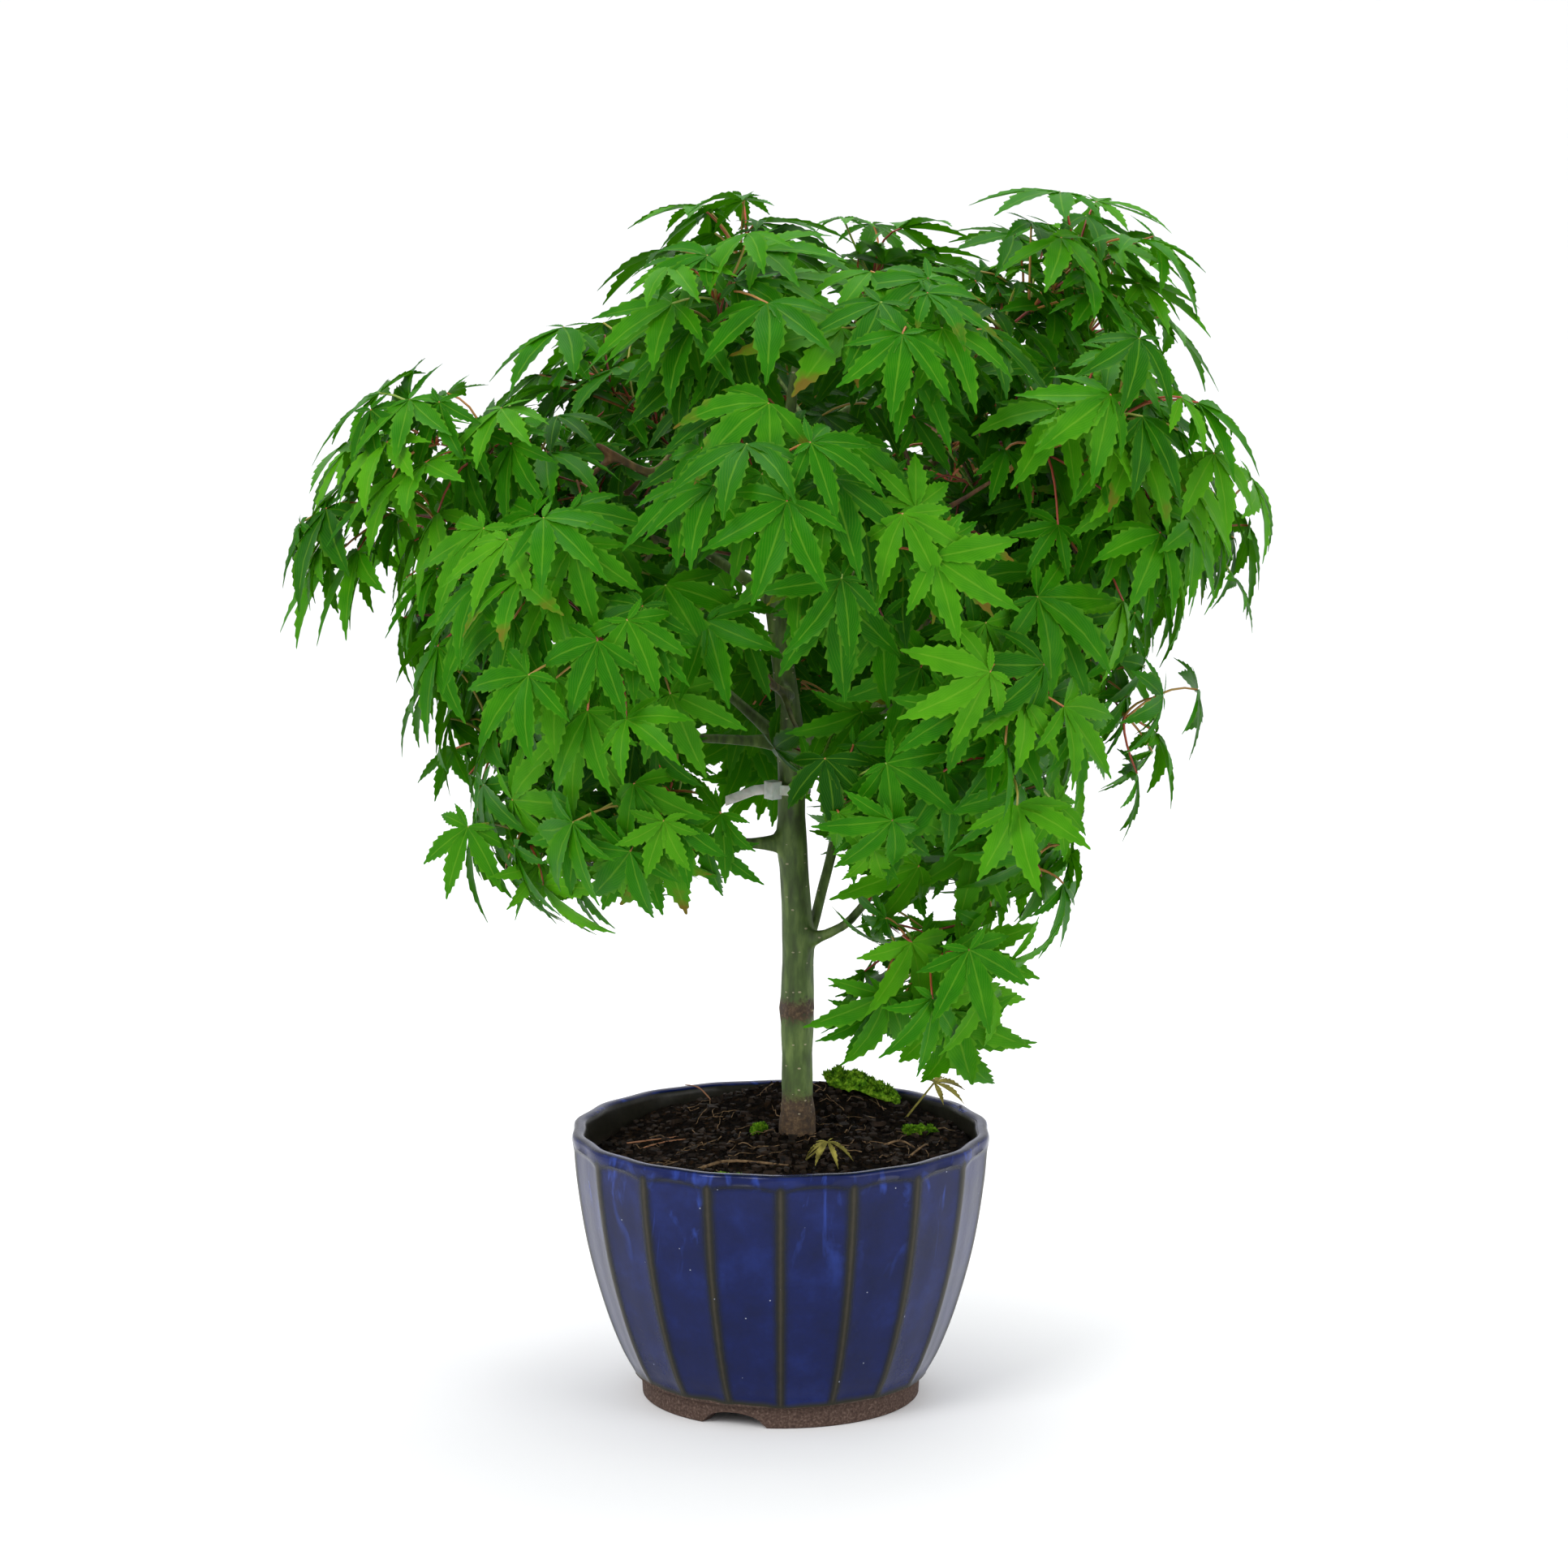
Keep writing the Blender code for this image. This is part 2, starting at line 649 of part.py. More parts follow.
def try_leaf(slot, twig_way, rng, size):
    """A leaf that might grow from a side face of a twig."""
    away = outward(slot.middle)
    lift = Vector((0, 0, 0.2))
    stalk_way = slot.normal * 0.8 + twig_way * 0.4 + away * 0.35 + lift + random_unit(rng) * 0.55
    stalk_way.normalize()
    hub = slot.middle + stalk_way * PETIOLE_LENGTH * rng.uniform(0.6, 1.7) * size
    face = (outward(hub) * 0.80 + Vector((0, -0.06, 0.55)) + random_unit(rng) * 0.28).normalized()
    lie = stalk_way * 0.40 + away * 0.20 + Vector((0, 0, -0.60)) + random_unit(rng) * 0.45
    axis = (lie - face * lie.dot(face)).normalized()
    length = LEAF_LENGTH * rng.uniform(0.85, 1.12) * size
    return Leaf(slot.middle, hub, axis, face, length, math.radians(rng.uniform(8, 30)))


def best_leaf(slot, twig_way, rng, space, own, hubs, name, outline):
    """The leaf that fills the emptiest room within reach of a side face, or None if there is no room.

    Stalks on one twig start side by side, so within a shoot (own) they are tested from a little way out.
    """
    for size, tries in ((1.0, 70), (0.86, 60), (0.72, 50)):
        leaves = [try_leaf(slot, twig_way, rng, size) for _ in range(tries)]

        def score(leaf):
            near = min(((leaf.hub - hub).length for hub in hubs), default=LEAF_LENGTH)
            reach = max(crown_share(leaf.hub) + 0.04, crown_share(leaf.hub + leaf.axis * leaf.length))
            emptiness = min(near, LEAF_LENGTH) / LEAF_LENGTH
            return 0.6 * emptiness + 0.5 * min(1.0, crown_share(leaf.hub)) - 7.0 * max(0.0, reach - outline)

        for leaf in sorted(leaves, key=score, reverse=True):
            if score(leaf) < 0:
                break
            if own.is_free(*leaf.shell(STALK_FREE)) and space.is_free(*leaf.shell(0.0), but=name):
                return leaf
    return None


# ------------------------------------------------------------------------------------------- the tree


def grow_trunk(body, space):
    """The trunk, from its foot in the soil to its top."""
    line = [crown_point(*point) for point in TRUNK_LINE]
    radii = [TRUNK_DIAMETER / 2 * share for share in TRUNK_THICKNESS]
    foot = line[0] - Vector((0, 0, TRUNK_BURIED))
    side = Vector((1, 0, 0))
    ring = body.add_ring(circle_points(foot, Vector((0, 0, 1)), side, radii[0] * 0.80, 6))
    body.faces.append(tuple(reversed(ring)))
    _, slots = body.add_tube(ring, line, radii)
    for low, high, radius in zip(line, line[1:], radii):
        space.add(*tube_shell([low, high], radius * 1.02, 6), owner="wood")
    return slots


def branch_path(start, normal, goal, rng, bend):
    """A gently bent path from a side face to a goal, which leaves the face near square to it."""
    reach = (goal - start).length
    control = start + normal * reach * 0.28 + random_unit(rng) * reach * bend
    count = max(2, min(4, round(reach / 0.034)))
    path = []
    for i in range(1, count + 1):
        t = i / count
        path.append(start.lerp(control, t).lerp(control.lerp(goal, t), t))
    return path


def collar(slot, radius):
    """A square ring of points let into a side face, where a branch leaves it, joined to its corners."""
    body = slot.body
    corners = [body.verts[k] for k in slot.corners]
    across = (corners[1] - corners[0] + corners[2] - corners[3]) / 2
    lengthwise = slot.normal.cross(across).normalized()
    half_width = min(radius, across.length * 0.42)
    half_length = min(radius * 1.3, (corners[3] - corners[0]).length * 0.45)
    wide = across.normalized() * half_width
    long = lengthwise * half_length
    middle = slot.middle + slot.normal * radius * 0.2
    corner_ways = (-wide - long, wide - long, wide + long, -wide + long)
    ring = body.add_ring([middle + way for way in corner_ways])
    for k in range(4):
        m = (k + 1) % 4
        body.faces.append((slot.corners[k], slot.corners[m], ring[m], ring[k]))
    return ring


def grow_branch(body, space, slot, path, thick, thin):
    """A branch out of a side face of another, thick at its start and thin at its end."""
    slot.used = True
    radii = [thick + (thin - thick) * i / max(1, len(path) - 1) for i in range(len(path))]
    _, slots = body.add_tube(collar(slot, thick), path, radii)
    space.add(*tube_shell([slot.middle] + path, thick * 0.9 + 0.0004), owner="wood")
    return slots


def grow_main_branches(body, space, trunk_slots):
    """The main branches, each from the side of the trunk that faces the way it grows."""
    slots = []
    for start, line in MAIN_BRANCHES:
        points = [crown_point(*point) for point in line]
        height = SOIL_LEVEL + start * CROWN_TOP
        free = [s for s in trunk_slots if not s.used]

        def misfit(slot):
            facing = slot.normal.dot((points[0] - slot.middle).normalized())
            return abs(slot.middle.z - height) / 0.012 - 2 * facing

        slot = min(free, key=misfit)
        path = smooth_line([slot.middle] + points, 2)[1:]
        slots += grow_branch(body, space, slot, path, BRANCH_DIAMETER / 2, BRANCH_DIAMETER / 3.4)
    return slots


def shoot_places():
    """Where every shoot starts, the way that it grows, and how far out in the crown its leaves may reach."""
    places = [(crown_point(*base), Vector(way).normalized(), outline) for base, way, outline in OUTER_SHOOTS]
    for i in range(CROWN_SHOOTS):
        up = 0.92 - 1.50 * (i + 0.5) / CROWN_SHOOTS
        turn = GOLDEN_ANGLE * i + SPIRAL_START
        flat = math.sqrt(max(0.0, 1 - up * up))
        way = Vector((flat * math.cos(turn), flat * math.sin(turn), up))
        size = sum(abs(part) ** CROWN_SQUARENESS for part in way) ** (1 / CROWN_SQUARENESS)
        way *= SHOOT_REACH * (0.62 if i % 4 == 3 else 1.0) / size
        height = CROWN_MIDDLE + way.z * (CROWN_RISE if way.z > 0 else CROWN_FALL) + crown_lean(way.x)
        base = crown_point(way.x + CROWN_OFFSET, way.y, height)
        places.append((base, (outward(base) + Vector((0, 0, 0.15))).normalized(), CROWN_OUTLINE))
    return places


def grow_spur(body, space, slots, goal, rng):
    """A thin branch to a shoot's base from the nearest wood that can reach it; None if nothing can."""
    near = sorted(
        (s for s in slots if not s.used and s.normal.dot((goal - s.middle).normalized()) > 0.15),
        key=lambda s: (s.middle - goal).length + 0.25 * max(0.0, s.middle.z - goal.z),
    )
    for slot in near[:24]:
        for attempt in range(6):
            path = branch_path(slot.middle, slot.normal, goal, rng, 0.03 + 0.04 * attempt)
            test = [slot.middle.lerp(path[0], 0.35)] + path
            if space.is_free(*tube_shell(test, SPUR_DIAMETER / 2 + 0.0008)):
                return grow_branch(body, space, slot, path, SPUR_DIAMETER / 2, TWIG_DIAMETER / 2), path
    return None, None


def grow_shoot(name, base, spur_way, way, space, hubs, outline, rng):
    """A leafy shoot: one twig with pairs of leaves, which starts just clear of the spur that bears it."""
    best = None
    for attempt in range(12):
        bent = (way + random_unit(rng) * 0.10 * attempt).normalized()
        sag = random_unit(rng) * 0.10 + Vector((0, 0, -0.06))
        length = SHOOT_LENGTH * rng.uniform(0.85, 1.15)
        path = [base + spur_way * GAP]
        for i in range(SHOOT_NODES):
            for swell in (-NODE_SWELL, NODE_SWELL):
                t = (i + 1) / SHOOT_NODES + swell / length
                path.append(path[0] + bent * length * t + sag * length * t * t)
        trimmed = [path[0].lerp(path[1], 0.3)] + path[1:]
        room = TWIG_DIAMETER / 2 + 0.0006
        if space.is_free(*tube_shell(trimmed, room)) and space.is_free(*tube_shell(path, room), but="wood"):
            best = path
            break
    if best is None:
        return
    body = Body()
    side = spur_way.orthogonal().normalized()
    ring = body.add_ring(circle_points(best[0], spur_way, side, TWIG_DIAMETER / 2, 4))
    body.faces.append(tuple(reversed(ring)))
    radii = [TWIG_DIAMETER / 2 * (1 - 0.3 * i / len(best)) for i in range(1, len(best))]
    _, slots = body.add_tube(ring, best[1:], radii)
    space.add(*tube_shell(best, TWIG_DIAMETER / 2), owner=name)
    own = Space()
    own.add(*tube_shell(best, TWIG_DIAMETER / 2))
    for node in range(SHOOT_NODES):
        group = [s for s in slots if s.step == 2 * node + 1]
        if node == 0:
            group = group[::2]
        twig_way = (best[2 * node + 2] - best[2 * node + 1]).normalized()
        for slot in group:
            leaf = best_leaf(slot, twig_way, rng, space, own, hubs, name, outline)
            if leaf:
                space.add(*leaf.shell(0.0), owner=name)
                own.add(*leaf.shell(STALK_FREE))
                hubs.append(leaf.hub)
                leaf.grow(slot)
    body.close()
    finish = material("maple_leaf", (0.05, 0.24, 0.02), 0.5)
    add_object(name, body.verts, body.faces, finish)


def build_tree(space):
    """The wood as one grown piece, then every leafy shoot as a piece of its own."""
    rng = random.Random(SEED)
    wood = Body()
    trunk_slots = grow_trunk(wood, space)
    slots = grow_main_branches(wood, space, trunk_slots)
    tips = []
    for base, way, outline in shoot_places():
        new_slots, path = grow_spur(wood, space, slots, base, rng)
        if path:
            slots += new_slots
            tips.append((path[-1], (path[-1] - path[-2]).normalized(), way, outline))
    wood.close()
    bark = material("maple_bark", (0.10, 0.13, 0.05), 0.75)
    add_object("trunk_and_branches", wood.verts, wood.faces, bark, sharp_above=60)
    for start, end, radius in OPEN_LINES:
        space.add(*tube_shell([crown_point(*start), crown_point(*end)], radius, 8))
    hubs = []
    for number, (base, spur_way, way, outline) in enumerate(tips, 1):
        first_way = (spur_way * 0.5 + way).normalized()
        own_rng = random.Random(SEED * 100 + number)
        grow_shoot(f"shoot_{number:02d}", base, spur_way, first_way, space, hubs, outline, own_rng)
    print(f"{len(tips)} shoots with {len(hubs)} leaves")


# ------------------------------------------------------------------------- the tie, and what lies on the soil


def section_points(middle, outer, way, half_thickness, half_width):
    """A rectangular section square to way, thick along outer and wide across it."""
    across = way.cross(outer)
    corners = [(1, 1), (-1, 1), (-1, -1), (1, -1)]
    return [middle + outer * half_thickness * a + across * half_width * b for a, b in corners]


def build_tie():
    """The cable tie round the trunk: a strap that runs round it from a square head, with a loose tail."""
    middle = crown_point(0.022, 0.0, TIE_HEIGHT)  # the trunk's own place at this height
    trunk = TRUNK_DIAMETER / 2 * 0.90
    radius = trunk + GAP + 0.0004 + TIE_THICKNESS / 2
    outer = Vector((-0.80, -0.60, 0.0))
    way = Vector((0, 0, 1)).cross(outer)
    half_strap = (TIE_THICKNESS / 2, TIE_WIDTH / 2)
    half_head = (TIE_HEAD[2] / 2, TIE_HEAD[1] / 2)
    head = middle + outer * (radius + half_head[0] - half_strap[0])
    at_strap = middle + outer * radius
    reach = TIE_HEAD[0] / 2
    down = Vector((0, 0, -TIE_TAIL))
    tail = at_strap - way * (reach + TIE_TAIL) + down * 0.35 + outer * TIE_TAIL * 0.4
    half_tail = at_strap - way * (reach + TIE_TAIL / 2) + down * 0.10 + outer * TIE_TAIL * 0.08
    sections = [
        (tail, outer, way, *half_strap),
        (half_tail, outer, way, *half_strap),
        (at_strap - way * reach, outer, way, *half_strap),
        (head - way * reach, outer, way, *half_head),
        (head + way * reach, outer, way, *half_head),
        (at_strap + way * reach, outer, way, *half_strap),
    ]
    first = math.atan2(reach, radius) + 0.25
    last = 2 * math.pi - math.atan2(reach, radius) - 0.10
    steps = 18
    for i in range(steps + 1):
        turn = first + (last - first) * i / steps
        radial = outer * math.cos(turn) + way * math.sin(turn)
        onward = way * math.cos(turn) - outer * math.sin(turn)
        sections.append((middle + radial * radius, radial, onward, *half_strap))
    body = Body()
    rings = [body.add_ring(section_points(*section)) for section in sections]
    body.faces.append(tuple(reversed(rings[0])))
    for low, high in zip(rings, rings[1:]):
        for k in range(4):
            m = (k + 1) % 4
            body.faces.append((low[k], low[m], high[m], high[k]))
    body.faces.append(tuple(rings[-1]))
    add_object("cable_tie", body.verts, body.faces, material("white_nylon", (0.80, 0.82, 0.80), 0.35))


class Ground:
    """The soil as built, to lay things on."""

    def __init__(self, soil):
        verts = [v.co.copy() for v in soil.data.vertices]
        self.tree = BVHTree.FromPolygons(verts, [tuple(face.vertices) for face in soil.data.polygons])

    def at(self, u, v, above=0.0):
        """The point at a height above the soil, from its place as shares of the rim's radius."""
        place = Vector((u * RIM_DIAMETER / 2, v * RIM_DIAMETER / 2, POT_HEIGHT + 0.05))
        found = self.tree.ray_cast(place, Vector((0, 0, -1)))[0]
        return Vector((place.x, place.y, found.z + above))


def build_moss(name, ground, u, v, half_length, half_width, height):
    """A low cushion of moss on the soil; its place and size are shares of the rim's radius."""
    columns = 12
    rings = []
    for share, rise in ((0.35, 0.0), (0.7, 0.0), (1.0, 0.0), (0.94, 0.45), (0.6, 0.9)):
        ring = []
        for i in range(columns):
            turn = 2 * math.pi * i / columns
            wave = 1.0 + 0.14 * math.sin(3 * turn + u * 40) + 0.08 * math.sin(5 * turn)
            out_u = half_length * share * wave * math.cos(turn)
            out_v = half_width * share * wave * math.sin(turn)
            ring.append(ground.at(u + out_u, v + out_v, 0.0007 + height * rise))
        rings.append(ring)
    verts = [point for ring in rings for point in ring]
    under = len(verts)
    verts.append(ground.at(u, v, 0.0007))
    verts.append(ground.at(u, v, 0.0007 + height))
    faces = []
    for i in range(columns):
        j = (i + 1) % columns
        faces.append((under, j, i))
        for r in range(len(rings) - 1):
            faces.append((r * columns + i, r * columns + j, (r + 1) * columns + j, (r + 1) * columns + i))
        last = (len(rings) - 1) * columns
        faces.append((last + i, last + j, under + 1))
    add_object(name, verts, faces, material("moss", (0.06, 0.16, 0.015), 0.95), sharp_above=60)


def build_stick(name, points, thick, thin, finish):
    """A needle, root or stalk through the points given."""
    line = smooth_line(points, 2)
    body = Body()
    way = (line[1] - line[0]).normalized()
    ring = body.add_ring(circle_points(line[0], way, way.orthogonal().normalized(), thick, 4))
    body.faces.append(tuple(reversed(ring)))
    radii = [thick + (thin - thick) * i / (len(line) - 1) for i in range(1, len(line))]
    body.add_tube(ring, line[1:], radii)
    body.close()
    add_object(name, body.verts, body.faces, finish, sharp_above=70)


def build_dead_leaf(name, start, hub, axis, normal, length, finish):
    """A fallen leaf with its stalk."""
    body = Body()
    way = (hub - start).normalized()
    ring = body.add_ring(circle_points(start, way, way.orthogonal().normalized(), PETIOLE_DIAMETER / 2, 4))
    body.faces.append(tuple(reversed(ring)))
    face = (normal - axis * normal.dot(axis)).normalized()
    Leaf(start, hub, axis, face, length, math.radians(24)).grow(Slot(body, tuple(ring), 0))
    add_object(name, body.verts, body.faces, finish)


def build_litter(ground):
    """Moss, needles, a root, stalks and two fallen leaves on the soil."""
    build_moss("moss_front", ground, -0.28, -0.78, 0.13, 0.055, 0.0028)
    build_moss("moss_back", ground, 0.40, 0.66, 0.20, 0.100, 0.0050)
    build_moss("moss_by_trunk", ground, -0.105, 0.04, 0.040, 0.065, 0.0030)
    build_moss("moss_right", ground, 0.66, 0.14, 0.085, 0.060, 0.0022)
    thick = NEEDLE_DIAMETER / 2

    def stick(name, points, radius, finish):
        line = [ground.at(u, v, thick + 0.0009 + rise) for u, v, rise in points]
        build_stick(name, line, radius, radius * 0.65, finish)

    brown = material("dry_needle", (0.28, 0.12, 0.05), 0.7)
    stick("needle_1", [(-0.76, 0.20, 0.001), (-0.62, 0.18, 0.002), (-0.49, 0.20, 0.0)], thick, brown)
    stick("needle_2", [(-0.66, 0.10, 0.001), (-0.56, 0.13, 0.001), (-0.45, 0.12, 0.0)], thick, brown)
    stick("dry_stalk", [(-0.34, 0.70, 0.0), (-0.40, 0.74, 0.007), (-0.47, 0.76, 0.009)], thick, brown)
    root = material("dead_root", (0.20, 0.13, 0.07), 0.85)
    root_line = [(-0.42, -0.62, 0.0), (-0.28, -0.50, 0.002), (-0.12, -0.47, 0.001), (0.08, -0.52, 0.0)]
    stick("surface_root", root_line, 0.0012, root)
    stick("stem_bit_1", [(0.46, -0.20, 0.0), (0.56, -0.12, 0.003), (0.64, -0.16, 0.0)], 0.0009, root)
    stick("stem_bit_2", [(0.60, -0.34, 0.0), (0.68, -0.24, 0.004), (0.70, -0.12, 0.0)], 0.0008, root)
    dry = material("dry_leaf", (0.22, 0.17, 0.05), 0.8)
    build_dead_leaf(
        "withered_leaf", ground.at(0.12, -0.40, 0.0012), ground.at(0.22, -0.46, 0.0115),
        Vector((0.35, -0.85, -0.25)).normalized(), Vector((0.1, -0.3, 1.0)), 0.017, dry,
    )
    by_rim = Vector((0.745 * RIM_DIAMETER / 2, 0.505 * RIM_DIAMETER / 2, POT_HEIGHT + 0.0095))
    build_dead_leaf(
        "dry_leaf_on_rim", ground.at(0.60, 0.38, 0.0012), by_rim,
        Vector((0.75, 0.35, 0.05)).normalized(), Vector((-0.1, -0.5, 1.0)), 0.020, dry,
    )


def main():
    """Builds every piece."""
    for thing in list(bpy.data.objects):
        bpy.data.objects.remove(thing, do_unlink=True)
    build_pot()
    ground = Ground(build_soil())
    build_drainage_mesh()
    build_litter(ground)
    build_tie()
    build_tree(Space())


main()
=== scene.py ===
"""Maple bonsai in a fluted, blue-glazed stoneware pot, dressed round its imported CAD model.

Metres, +Z up, the front towards -Y. The CAD nodes give every place: the hubs and lobe tips of the leaves, the
line of the wood, the pot's size and the level of the soil. Each class below builds one sub-assembly.
"""

from __future__ import annotations

import logging
import math
import random
from dataclasses import dataclass, field
from enum import Enum

import bmesh
import bpy
from mathutils import Matrix, Vector, noise
from mathutils.bvhtree import BVHTree


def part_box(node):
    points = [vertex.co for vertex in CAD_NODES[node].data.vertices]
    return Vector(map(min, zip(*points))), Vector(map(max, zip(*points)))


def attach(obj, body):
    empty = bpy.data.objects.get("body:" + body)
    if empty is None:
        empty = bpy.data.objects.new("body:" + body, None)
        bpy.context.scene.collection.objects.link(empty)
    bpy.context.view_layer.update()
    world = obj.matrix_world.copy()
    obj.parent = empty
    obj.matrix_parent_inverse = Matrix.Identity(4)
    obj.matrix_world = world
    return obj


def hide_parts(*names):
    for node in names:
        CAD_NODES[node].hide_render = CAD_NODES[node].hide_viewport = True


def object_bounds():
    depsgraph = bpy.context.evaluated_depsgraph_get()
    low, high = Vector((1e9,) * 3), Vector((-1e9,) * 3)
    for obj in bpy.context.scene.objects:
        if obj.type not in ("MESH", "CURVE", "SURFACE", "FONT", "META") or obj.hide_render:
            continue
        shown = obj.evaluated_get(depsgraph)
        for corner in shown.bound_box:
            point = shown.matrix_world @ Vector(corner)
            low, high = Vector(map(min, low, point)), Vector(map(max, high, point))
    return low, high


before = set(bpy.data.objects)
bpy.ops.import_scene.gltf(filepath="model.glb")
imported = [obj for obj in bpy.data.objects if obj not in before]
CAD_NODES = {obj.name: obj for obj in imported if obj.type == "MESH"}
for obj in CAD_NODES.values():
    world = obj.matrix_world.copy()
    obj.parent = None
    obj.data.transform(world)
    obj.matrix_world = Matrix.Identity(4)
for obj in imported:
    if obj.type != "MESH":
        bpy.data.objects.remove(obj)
CAD_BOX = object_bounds()
LOG = logging.getLogger("bonsai")
MM = 0.001
CALLUS = 187.3 * MM
TRUNK = (0.008, 0.0)
TRUNK_ROOM = 0.011

Tree = bpy.types.NodeTree
Node = bpy.types.Node
Socket = bpy.types.NodeSocket
Thing = bpy.types.Object
Faces = list[tuple[int, ...]]


# ---------------------------------------------------------------------------------------------- helpers


def linear(hex_colour: str) -> tuple[float, float, float, float]:
    """Turns an sRGB hex colour into linear red, green, blue and alpha."""
    parts = [int(hex_colour[i : i + 2], 16) / 255 for i in (1, 3, 5)]
    return (*(p / 12.92 if p <= 0.04045 else ((p + 0.055) / 1.055) ** 2.4 for p in parts), 1.0)


def smoothstep(low: float, high: float, value: float) -> float:
    """Rises smoothly from 0 at low to 1 at high."""
    t = min(1.0, max(0.0, (value - low) / (high - low)))
    return t * t * (3 - 2 * t)


def plug(tree: Tree, socket: Socket, given: object) -> None:
    """Gives an input its value or its link.

    Args:
        tree: the material's node tree.
        socket: the input.
        given: a number, vector or colour, an output socket, or a node, for its first output in use.
    """
    if isinstance(given, Node):
        given = next(output for output in given.outputs if output.enabled)
    if isinstance(given, Socket):
        tree.links.new(given, socket)
    else:
        socket.default_value = given


def add_node(
    tree: Tree, kind: str, inputs: dict[int | str, object] | None = None, **settings: object
) -> Node:
    """Adds a shader node with its settings, values and links.

    Args:
        tree: the material's node tree.
        kind: the node's type, without its "ShaderNode" start.
        inputs: input name or number to a value, an output socket or a node.
        settings: properties of the node; stops sets a colour ramp's (place, hex colour or grey) pairs.

    Returns:
        The new node.
    """
    made = tree.nodes.new("ShaderNode" + kind)
    stops = settings.pop("stops", None)
    for name, value in settings.items():
        setattr(made, name, value)
    for key, given in (inputs or {}).items():
        plug(tree, made.inputs[key], given)
    if stops:
        ramp = made.color_ramp
        while len(ramp.elements) < len(stops):
            ramp.elements.new(0.5)
        for element, (place, colour) in zip(ramp.elements, stops):
            element.position = place
            element.color = linear(colour) if isinstance(colour, str) else (colour, colour, colour, 1.0)
    return made


def deselect() -> None:
    """Leaves nothing selected, and object mode on."""
    if bpy.context.object and bpy.context.object.mode != "OBJECT":
        bpy.ops.object.mode_set(mode="OBJECT")
    bpy.ops.object.select_all(action="DESELECT")


def make_active(thing: Thing) -> None:
    """Selects one object alone and makes it the active one.

    Args:
        thing: the object.
    """
    deselect()
    thing.select_set(True)
    bpy.context.view_layer.objects.active = thing


def add_modifier(thing: Thing, kind: str, **settings: object) -> None:
    """Adds a modifier and applies it at once.

    Args:
        thing: the object.
        kind: the modifier's type.
        settings: the modifier's properties.
    """
    make_active(thing)
    modifier = thing.modifiers.new(kind.title(), kind)
    for name, value in settings.items():
        setattr(modifier, name, value)
    bpy.ops.object.modifier_apply(modifier=modifier.name)


def smooth(thing: Thing, degrees: float = 40.0) -> None:
    """Shades an object smooth, with edges over an angle left sharp."""
    make_active(thing)
    bpy.ops.object.shade_smooth_by_angle(angle=math.radians(degrees))


def copy_of(node: str, name: str) -> Thing:
    """Copies a CAD node and joins its loose triangles.

    Args:
        node: the CAD node.
        name: the copy's name.

    Returns:
        The copy, with no parent and no material.
    """
    mesh = CAD_NODES[node].data.copy()
    mesh.name = name
    mesh.materials.clear()
    made = bpy.data.objects.new(name, mesh)
    bpy.context.scene.collection.objects.link(made)
    shape = bmesh.new()
    shape.from_mesh(mesh)
    bmesh.ops.remove_doubles(shape, verts=shape.verts, dist=0.00002)
    shape.to_mesh(mesh)
    shape.free()
    return made


def mesh_object(name: str, verts: list[Vector], faces: Faces) -> Thing:
    """Makes an object from points and faces.

    Args:
        name: the object's name.
        verts: its points.
        faces: the point numbers of each face.

    Returns:
        The object.
    """
    mesh = bpy.data.meshes.new(name)
    mesh.from_pydata([tuple(v) for v in verts], [], faces)
    mesh.validate()
    made = bpy.data.objects.new(name, mesh)
    bpy.context.scene.collection.objects.link(made)
    return made


def set_attribute(mesh: bpy.types.Mesh, name: str, values: list[float]) -> None:
    """Writes one number for each point of a mesh."""
    layer = mesh.attributes.new(name, "FLOAT", "POINT")
    layer.data.foreach_set("value", values)


def finish_piece(piece: Thing, slot: str, *nodes: str) -> None:
    """Puts a finished piece on the model, in place of the CAD nodes it stands for.

    Args:
        piece: the new object, at the origin.
        slot: not used.
        nodes: the CAD nodes it replaces.
    """
    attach(piece, "root")
    if nodes:
        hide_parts(*nodes)
    LOG.info("%s: %d faces", piece.name, len(piece.data.polygons))


# --------------------------------------------------------------------------------------------- finishes


@dataclass(frozen=True)
class Finish:
    """A finish: a procedural material made once and shared by the pieces that wear it."""

    name: str

    def paint(self, tree: Tree, place: Socket) -> dict[str, object]:
        """Adds the finish's nodes; each finish has its own.

        Args:
            tree: the material's node tree.
            place: the Object coordinates, in metres.

        Returns:
            The names of the shader's inputs, with what each is given.
        """
        raise NotImplementedError

    def material(self) -> bpy.types.Material:
        """Finds the material, or makes it on first use.

        Returns:
            The material.
        """
        found = bpy.data.materials.get(self.name)
        if found:
            return found
        made = bpy.data.materials.new(self.name)
        made.use_nodes = True
        tree = made.node_tree
        place = add_node(tree, "TexCoord").outputs["Object"]
        for name, value in self.paint(tree, place).items():
            plug(tree, tree.nodes["Principled BSDF"].inputs[name], value)
        return made

    def dress(self, thing: Thing) -> None:
        """Gives an object this finish alone."""
        thing.data.materials.clear()
        thing.data.materials.append(self.material())


